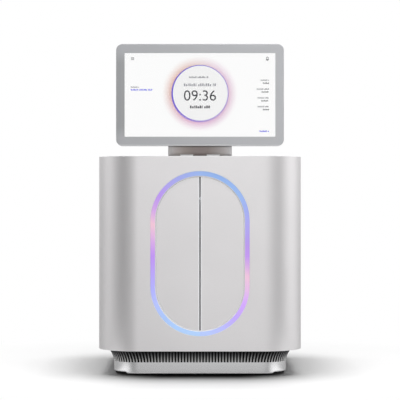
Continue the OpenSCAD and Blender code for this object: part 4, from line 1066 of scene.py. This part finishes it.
# %% [markdown]
# The other lines of the page are bars, with one piece for each ink. Each row here gives a
# line's left and right end, its height on the page and its letters' height, in mm from the
# page's middle. The menu sign at the upper left is three plain bars.
# %% Text lines
PAGE_LINES = (
    ("page_dark_lines", dark_ink, (
        (-19.5, 19.5, -23.5, 5.4), (122.8, 135.5, 22.9, 2.9), (120.2, 135.5, 5.8, 2.9),
        (119.7, 135.5, -11.5, 2.9), (122.8, 135.5, -28.6, 2.9))),
    ("page_grey_lines", grey_ink, (
        (-21.0, 18.0, 34.5, 3.2), (118.5, 135.5, 28.6, 2.8), (110.8, 135.5, 11.3, 2.8),
        (112.5, 135.5, -5.8, 2.8), (112.5, 135.5, -22.9, 2.8), (-134.9, -118.7, 15.2, 2.8))),
    ("page_caption", pale_ink, ((-31.5, 31.5, 19.6, 5.4),)),
    ("page_blue_lines", blue_ink, ((-134.9, -93.3, 9.9, 3.2), (116.2, 135.5, -70.8, 3.2))))
MENU_BARS = [(-134.6, -128.6, z, 0.9) for z in (68.6, 70.6, 72.6)]
for name, ink, lines in PAGE_LINES:
    bm = bmesh.new()
    for line in lines:
        page_line(bm, *line)
    for bar in MENU_BARS if ink is dark_ink else ():
        page_bar(bm, *bar)
    piece(bm, name, "monitor", ink, open_sheet=True)

# %% [markdown]
# The bell at the upper right is the outline of a dome, bridged from two loops with round
# tops, over two bars for its rim and its clapper.
# %% Bell
BELL_X = 131.4
BELL_LOOPS = ((2.3, 68.6, 74.2, 0.3), (1.3, 69.4, 73.2, 0.2))
bm = bmesh.new()
bridge(bm, *[rounded_loop(bm, half_w, SCREEN_Z + low, SCREEN_Z + high, foot_r,
                          y=PICTURE_Y - INK_DEPTH, radius_high=half_w, x=BELL_X)
             for half_w, low, high, foot_r in BELL_LOOPS])
page_bar(bm, 128.2, 134.6, 68.2, 0.8)
page_bar(bm, 130.5, 132.3, 66.7, 0.9)
piece(bm, "page_bell", "monitor", dark_ink, open_sheet=True)

# %% [markdown]
# The cover glass is a thin clear plate with a fine chamfer, just behind the frame's face.
# It is thinner than its solid, which leaves room for the page and its drawings behind it.
# %% Cover glass
GLASS_FIT, GLASS_T = 0.3, 0.8
GLASS_EDGE = ((0, GLASS_T, 1.0), (0, 0.2, 1.0), (0.25, 0, 0.8))  # in, back, and the corner
fit = BEZEL_W + GLASS_FIT
bm = bmesh.new()
glass_loops = [monitor_loop(bm, fit + inset, glass_front + back, corner, BEZEL_MORE)
               for inset, back, corner in GLASS_EDGE]
bridge(bm, *glass_loops)
cap(bm, glass_loops[0])
cap(bm, glass_loops[-1])
piece(bm, "cover_glass", "monitor", cover_glass, ["monitor_glass"])

# %% [markdown]
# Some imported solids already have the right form, with pockets and bores that would be long
# to build again, and lack only soft edges. Such a piece is a copy of its solid: the loose
# triangles are merged, flat faces are made whole, and a bevel rounds the edges.
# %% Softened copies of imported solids
COPY_MERGE, FLAT_ANGLE = 0.01, 1.0  # millimetres and degrees


def softened(node, body, material, bevel=0.5, name=None, socket=None, socket_y=0.0):
    """A copy of a CAD node with its edges rounded, standing for that node. Faces in front of
    socket_y (mm) get the socket's material."""
    source = nodes[node]
    bm = bmesh.new()
    bm.from_mesh(source.data)
    bm.transform(source.matrix_world)
    bmesh.ops.remove_doubles(bm, verts=bm.verts, dist=COPY_MERGE * MM)
    bmesh.ops.dissolve_limit(bm, angle_limit=math.radians(FLAT_ANGLE), verts=bm.verts,
                             edges=bm.edges)
    for face in bm.faces:
        if socket and face.calc_center_median().y < socket_y * MM:
            face.material_index = 1
    made = piece(bm, name or node + "_body", body, material, [node], angle=30, bevel=bevel)
    if socket:
        made.data.materials.append(socket)
    made.modifiers["rounded_edges"].use_clamp_overlap = True


# %% [markdown]
# The yoke carries the monitor: a barrel with round ends, and a neck up its back. It is die
# cast and painted a warm satin grey with a little metal in it. Light is painted into its
# front's colour: a painted highlight at each round end, weaker painted light between them,
# and the plain warm grey on the neck behind.
# %% Yoke paint
YOKE_PAINTED_LIGHT = ("#E9E6E5", "#CFC7C4", "#B9AEA9", "#AA9E9A", "#A99C99", "#AA9E9A", "#BDB5B2",
               "#D5CFCD", "#F2F0F0")
# The front's painted light gives way to the plain grey between these depths.
BEHIND_FROM, BEHIND_TO = 4, 12  # millimetres behind the yoke's front
YOKE_HALF_W = extent("monitor_yoke", 0)[1]
YOKE_Y, NECK_BACK = extent("monitor_yoke", 1)
yoke_paint, tree, output, coordinates = new_material("warm_grey_yoke_with_painted_light")
split = add(tree, "ShaderNodeSeparateXYZ", {0: coordinates})
share = add(tree, "ShaderNodeMapRange",
            {"Value": split.outputs["X"], "From Min": -YOKE_HALF_W * MM,
             "From Max": YOKE_HALF_W * MM})
shade = add(tree, "ShaderNodeValToRGB", {0: share.outputs["Result"]}, even_stops(YOKE_PAINTED_LIGHT))
# Behind the front the painted light ends and the plain warm grey is left.
behind = add(tree, "ShaderNodeMapRange",
             {"Value": split.outputs["Y"], "From Min": (YOKE_Y + BEHIND_FROM) * MM,
              "From Max": (YOKE_Y + BEHIND_TO) * MM})
shade = add(tree, "ShaderNodeMix", {0: behind.outputs["Result"], 6: shade.outputs["Color"],
                                    7: linear("#8B8785")}, data_type="RGBA")
noise, normal = grained(tree, coordinates, 1.0, 0.02)
gloss = add(tree, "ShaderNodeMapRange",
            {"Value": noise, "To Min": 0.55, "To Max": 0.66, **GRAIN_SPREAD})
paint_shader = add(tree, "ShaderNodeBsdfPrincipled",
                   {"Base Color": shade.outputs[2], "Metallic": 0.12,
                    "Roughness": gloss.outputs["Result"], "Normal": normal})
tree.links.new(paint_shader.outputs[0], output)

# %% [markdown]
# The yoke's barrel has two pockets for the hinge lugs, open below, so it is the softened copy
# of its solid. A shoulder with a rolled top closes the barrel under the monitor, and the
# lugs of the tilt hinge stand in the pockets.
# %% Yoke and tilt hinge
SHOULDER_TOP, SHOULDER_DEEP, SHOULDER_R, SHOULDER_GAP = 454.0, 22, 10.5, 0.2
SHOULDER_EDGE = ((0, 9.0), (0, 2.0), (0.4, 0.8), (1.6, 0.0))  # how far in, and how far down
softened("monitor_yoke", "monitor", yoke_paint, name="tilting_yoke")
bm = bmesh.new()
shoulder = [rounded_loop(bm, YOKE_HALF_W - inset, MON_BACK + SHOULDER_GAP,
                         YOKE_Y + SHOULDER_DEEP - inset, SHOULDER_R - inset,
                         z=SHOULDER_TOP - drop, radius_high=SHOULDER_R)
            for inset, drop in SHOULDER_EDGE]
bridge(bm, *shoulder)
cap(bm, shoulder[0])
cap(bm, shoulder[-1])
piece(bm, "yoke_shoulder", "monitor", yoke_paint)
softened("hinge_base", "root", hinge_metal, name="tilt_hinge_base")

# %% [markdown]
# Four socket screws hold the neck to the monitor. A head is a row of circles bridged from its
# foot over its rounded rim and down into the socket, which is a circle of only six points.
# %% Neck screws
SCREW_X, SCREW_UP = 30, (48, 80)  # from the middle, and up from the monitor's lower edge
SCREW_HEAD = ((4.2, 0.0, 32), (4.2, 1.3, 32), (3.7, 1.8, 32), (2.3, 1.8, 6), (2.3, 0.5, 6))
lying = Matrix.Rotation(math.radians(90), 4, "X")
bm = bmesh.new()
for x in (-SCREW_X, SCREW_X):
    for up in SCREW_UP:
        rings = []
        for radius, rise, points in SCREW_HEAD:
            place = Matrix.Translation(Vector((x, NECK_BACK + rise, MON_LOW + up)) * MM)
            verts = bmesh.ops.create_circle(bm, segments=points, radius=radius * MM,
                                            matrix=place @ lying)["verts"]
            rings.append(list(dict.fromkeys(e for v in verts for e in v.link_edges)))
        bridge(bm, *rings)
        cap(bm, rings[0])
        cap(bm, rings[-1])
piece(bm, "neck_screws", "monitor", turned_steel)

# %% [markdown]
# The plinth is a plain band of bright anodised aluminium. Its lower edge hangs a little
# below the pan and is rolled in, and the roll gets a pale painted highlight, so a thin light
# line closes the band off against the floor. Round the corners and along the sides the edge
# is relieved by a few millimetres. The band is a row of plan loops, first its roll and then
# its walls.
# %% Plinth band
PLINTH_Z = extent("plinth", 2)[0]
PLINTH_INSET = HALF_W - extent("plinth", 0)[1]
BAND_TOP, BAND_WALL, PAN_TOP = PLINTH_Z + 21.3, 6.0, PLINTH_Z + 3
ROLL_R, EDGE_DROP = 2.2, 1.0
RELIEF, RELIEF_X, RELIEF_RUN = 2.5, 142.0, 3
BAND_WALLS = ((0, BAND_TOP - 0.4), (0.4, BAND_TOP), (BAND_WALL, BAND_TOP), (BAND_WALL, PAN_TOP))
bm = bmesh.new()
roll_loops = []
for degrees in (0, 22, 45, 68, 90):
    turn_in = ROLL_R * (1 - math.sin(math.radians(degrees)))
    rise = ROLL_R * (1 - math.cos(math.radians(degrees)))
    roll_loops.append(plan_loop(bm, PLINTH_INSET + turn_in, PLINTH_Z - EDGE_DROP + rise))
bridge(bm, *roll_loops)
roll = set(bm.faces)
for vert in bm.verts:
    share = (abs(vert.co.x) / MM - RELIEF_X) / RELIEF_RUN
    vert.co.z += RELIEF * MM * min(1, max(0, share))
wall_loops = [plan_loop(bm, PLINTH_INSET + inset, z) for inset, z in BAND_WALLS]
bridge(bm, roll_loops[-1], *wall_loops)
cap(bm, roll_loops[0])
cap(bm, wall_loops[-1])
for face in bm.faces:
    face.material_index = 1 if face in roll else 0
piece(bm, "plinth_band", "root", band_metal, ["plinth"], angle=50,
      second=pale_edge_highlight)

# %% [markdown]
# Nothing of the inside may show between the fins. Black sheets stand as painted shade where
# only shade would be: a wall behind the fins, a strip that closes the cabinet's edge above
# them, and a pan under the plinth.
# %% Dark recess
RECESS_OUT, RECESS_IN = 1.6, 5.8
recess_top, strip_z = SHELL_Z - 0.4, SHELL_Z - 0.3
bm = bmesh.new()
recess = [plan_loop(bm, PLINTH_INSET + inset, z)
          for inset, z in ((RECESS_OUT, BAND_TOP), (RECESS_OUT, recess_top),
                           (RECESS_IN, recess_top), (RECESS_IN, BAND_TOP))]
bridge(bm, *recess, recess[0])
bridge(bm, *[plan_loop(bm, inset, strip_z) for inset in (PANEL_GAP + WALL, PLINTH_INSET + 2)])
pan = [plan_loop(bm, PLINTH_INSET + 3, PLINTH_Z + z) for z in (-2.6, 0.4)]
bridge(bm, *pan)
cap(bm, pan[0])
cap(bm, pan[1])
piece(bm, "plinth_painted_shade_recess", "root", painted_shade_black)

# %% [markdown]
# Above the band stands the flare: thin fins with the air intake between them, which lean out
# to the cabinet's edge. They are silver, and the shade under the cabinet is painted into their
# colour: a ramp by height goes from silver at the foot to nearly black at the head. Their sides
# are painted black, a painted shade as dark as the gaps.
# %% Fin lacquer
FIN_PAINTED_SHADE = ("#D4D4D4", "#ACACAC", "#747476", "#3C3C3E", "#1A1A1C")
fin_metal, tree, output, coordinates = new_material("fin_silver_with_painted_shade")
split = add(tree, "ShaderNodeSeparateXYZ", {0: coordinates})
share = add(tree, "ShaderNodeMapRange", {"Value": split.outputs["Z"], "From Min": BAND_TOP * MM,
                                         "From Max": SHELL_Z * MM})
shade = add(tree, "ShaderNodeValToRGB", {0: share.outputs["Result"]}, even_stops(FIN_PAINTED_SHADE))
normal = grained(tree, coordinates, 0.9, 0.01)[1]
fin_shader = add(tree, "ShaderNodeBsdfPrincipled",
                 {"Base Color": shade.outputs["Color"], "Metallic": 0.2, "Roughness": 0.6,
                  "Normal": normal})
tree.links.new(fin_shader.outputs[0], output)

# %% [markdown]
# One fin is a flared profile, extruded to its thickness and then turned and set in its place.
# %% One fin
FIN_T, FIN_BACK, FIN_STEPS = 2.8, 3.0, 8
FLARE_OUT, FLARE_H, FLARE_CURVE = 11.5, SHELL_Z - BAND_TOP, 1.6


def add_fin(bm, x, y, degrees):
    """One fin of the flare, standing at a place on the plinth and facing along an angle."""
    profile = [(-FIN_BACK, 0.0)]
    for step in range(FIN_STEPS + 1):
        rise = step / FIN_STEPS
        profile.append((FLARE_OUT * rise ** FLARE_CURVE, FLARE_H * rise))
    profile.append((-FIN_BACK, FLARE_H))
    verts = [bm.verts.new((out * MM, -FIN_T / 2 * MM, up * MM)) for out, up in profile]
    made = bmesh.ops.extrude_face_region(bm, geom=[bm.faces.new(verts)])["geom"]
    moved = [v for v in made if isinstance(v, bmesh.types.BMVert)]
    bmesh.ops.translate(bm, verts=moved, vec=(0, FIN_T * MM, 0))
    everything = verts + moved
    # A fin's two flat sides get the second material, black as painted shade.
    for face in {face for vert in everything for face in vert.link_faces}:
        face.normal_update()
        face.material_index = 1 if abs(face.normal.y) > 0.9 else 0
    bmesh.ops.rotate(bm, verts=everything, cent=(0, 0, 0),
                     matrix=Matrix.Rotation(math.radians(degrees), 3, "Z"))
    bmesh.ops.translate(bm, verts=everything, vec=Vector((x, y, BAND_TOP)) * MM)


# %% [markdown]
# The fins are set round the plan, which is walked along from the middle of the front to the
# middle of the rear, once for each side. Near a corner the fins fan out: they begin to turn
# before it and end after it.
# %% Intake fins
FIN_PITCH, FAN_LEAD = 6.02, 45.0
# Half the plan: each straight's length and the radius of the corner after it.
FLARE_PATH = ((HALF_W - FRONT_R, FRONT_R - PLINTH_INSET),
              (BACK_Y - REAR_R - FRONT_Y - FRONT_R, REAR_R - PLINTH_INSET),
              (HALF_W - REAR_R, 0.0))


def flare_place(along):
    """Where a fin stands at a length along the path: x and y in mm."""
    place, heading = Vector((0, FRONT_Y + PLINTH_INSET)), 0.0
    for straight, radius in FLARE_PATH:
        step = min(along, straight)
        place += step * Vector((math.cos(heading), math.sin(heading)))
        along -= step
        turn = min(along / radius, math.pi / 2) if radius else 0.0
        place += radius * Vector((-math.sin(heading), math.cos(heading)))
        heading += turn
        place -= radius * Vector((-math.sin(heading), math.cos(heading)))
        along -= turn * radius
    return place


def fin_facing(along):
    """The way a fin points, in degrees. It turns slowest in the middle of its corner."""
    facing, corner = -90.0, 0.0
    for straight, radius in FLARE_PATH[:2]:
        corner += straight
        arc = radius * math.pi / 2
        share = min(1, max(-1, 2 * (along - corner + FAN_LEAD) / (arc + 2 * FAN_LEAD) - 1))
        facing += 45 + 45 * (share + share ** 3) / 2
        corner += arc
    return facing


path_length = sum(straight + radius * math.pi / 2 for straight, radius in FLARE_PATH)
fin_count = round(path_length / FIN_PITCH)
bm = bmesh.new()
for number in range(fin_count):
    along = (number + 0.5) * path_length / fin_count
    (x, y), facing = flare_place(along), fin_facing(along)
    add_fin(bm, x, y, facing)
    add_fin(bm, -x, y, 180 - facing)
print("fins", 2 * fin_count)
piece(bm, "intake_fins", "root", fin_metal, ["intake_grille"], angle=40,
      second=painted_shade_black)

# %% [markdown]
# A flat rail joins the fins' heads under the cabinet's edge.
# %% Intake rail
rail_low, rail_high = SHELL_Z - 2, SHELL_Z - 0.1
RAIL_OUT, RAIL_IN = PLINTH_INSET - FLARE_OUT + 1, PLINTH_INSET + 3
bm = bmesh.new()
rail = [plan_loop(bm, inset, z)
        for inset, z in ((RAIL_OUT, rail_low), (RAIL_OUT, rail_high), (RAIL_IN, rail_high),
                         (RAIL_IN, rail_low))]
bridge(bm, *rail, rail[0])
# The rail takes the fins' painted shade, so it is nearly black under the cabinet's edge.
piece(bm, "intake_rails", "root", fin_metal)

# %% [markdown]
# The rubber feet are moulded pucks with a rounded lower edge, spun from their profile.
# %% Feet
FOOT_H, FOOT_R = extent("plinth", 2)[0], 14.0
FOOT_X = extent("rubber_feet", 0)[1] - FOOT_R
FOOT_PROFILE = ((0, 0), (FOOT_R - 1.2, 0), (FOOT_R - 0.35, 0.35), (FOOT_R, 1.2),
                (FOOT_R, FOOT_H), (0, FOOT_H))
foot_low_y, foot_high_y = extent("rubber_feet", 1)
bm = bmesh.new()
for x in (-FOOT_X, FOOT_X):
    for y in (foot_low_y + FOOT_R, foot_high_y - FOOT_R):
        points = [bm.verts.new(Vector((x + out, y, up)) * MM) for out, up in FOOT_PROFILE]
        edges = [bm.edges.new(pair) for pair in zip(points, points[1:])]
        bmesh.ops.spin(bm, geom=points + edges, cent=Vector((x, y, 0)) * MM, axis=(0, 0, 1),
                       angle=math.radians(360), steps=40, use_merge=True)
piece(bm, "rubber_foot_pads", "root", rubber, ["rubber_feet"], angle=50)

# %% [markdown]
# What is left are the units inside the cabinet and the fittings on its back. They keep the
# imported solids' shapes, with rounded edges where a hand or an eye reaches them. The data
# ports are holes in a plated block, so the faces deep inside them are black plastic.
# %% Inside and rear
for node, body, material, slot, bevel in (
        ("rear_panel", "root", rear_paint, "rear_grey", 0.4),
        ("chassis_frame", "root", zinc_plate, "chassis_zinc", 0.4),
        ("case_screws", "root", turned_steel, "fastener_steel", 0.3),
        ("ring_housing", "root", bay_white, "housing_dark", 0.3),
        ("left_door_liner", "left_door", liner_abs, "liner_grey", 0.8),
        ("right_door_liner", "right_door", liner_abs, "liner_grey", 0.8),
        ("left_door_arms", "left_door", cast_zinc, "arm_metal", 0.4),
        ("right_door_arms", "right_door", cast_zinc, "arm_metal", 0.4),
        ("hinge_lugs", "root", cast_zinc, "arm_metal", 0.4),
        ("bay_bezel", "root", bay_dark, "housing_dark", 0.5),
        ("bay_liner", "root", bay_white, "bay_white", 0.5),
        ("cartridge_tray", "tray", tray_plastic, "tray_blue", 0.8),
        ("flow_cell_clamp", "stage", clamp_brass, "clamp_brass", 0.5),
        ("stage_carriage", "stage", black_anodised, "optic_black", 0.5),
        ("objective", "focus", chromed, "objective_steel", 0.4),
        ("power_inlet", "root", black_abs, "housing_dark", 0.3),
        ("rocker_switch", "rocker", black_abs, "housing_dark", 0.4),
        ("fan_housings", "root", black_abs, "housing_dark", 0.4),
        ("left_fan", "left_rotor", black_abs, "housing_dark", 0.3),
        ("right_fan", "right_rotor", black_abs, "housing_dark", 0.3)):
    softened(node, body, material, bevel)
SOCKET_DEPTH = 1.5
softened("io_ports", "root", port_metal, 0.3, socket=black_abs,
         socket_y=extent("io_ports", 1)[1] - SOCKET_DEPTH)

# %% [markdown]
# The bay's lamp is a strip behind a frosted cover, which glows a cool white. The frosting
# makes the glow a little uneven, as it is over separate lamps.
# %% Lamp cover
lamp_cover, tree, output, coordinates = new_material("frosted_bay_lamp_cover")
noise, normal = grained(tree, coordinates, 1.2, 0.01)
glow = add(tree, "ShaderNodeMapRange", {"Value": noise, "To Min": 2.6, "To Max": 3.0})
skin = add(tree, "ShaderNodeBsdfPrincipled",
           {"Base Color": linear("#F2F4F6"), "Roughness": 0.5, "Normal": normal,
            "Emission Color": linear("#F4F8FF"), "Emission Strength": glow.outputs["Result"]})
tree.links.new(skin.outputs[0], output)

# %% [markdown]
# Units that stay out of sight, and small turned parts, need no softened copy. The packed
# node is shown as it is and only gets its material.
# %% Nodes shown as they are
for material, names in (
        (solder_mask, ("ring_led_board", "monitor_board", "main_board")),
        (turned_steel, ("hinge_pins", "hinge_shaft", "tray_screw", "stage_screw",
                        "door_magnets")),
        (ground_steel, ("tray_rails", "stage_rails")),
        (zinc_plate, ("base_plate", "power_supply")),
        (anodised, ("optics_base",)),
        (black_anodised, ("camera_module", "drive_motors")),
        (cast_zinc, ("light_engine",)),
        (pump_plastic, ("syringe_pump",)),
        (syringe_glass, ("syringe_barrel",)),
        (ptfe, ("syringe_plunger", "valve_rotor", "fluid_tubing")),
        (lamp_cover, ("bay_lamp",))):
    for name in names:
        mesh = nodes[name].data
        mesh.materials.clear()
        mesh.materials.append(material)
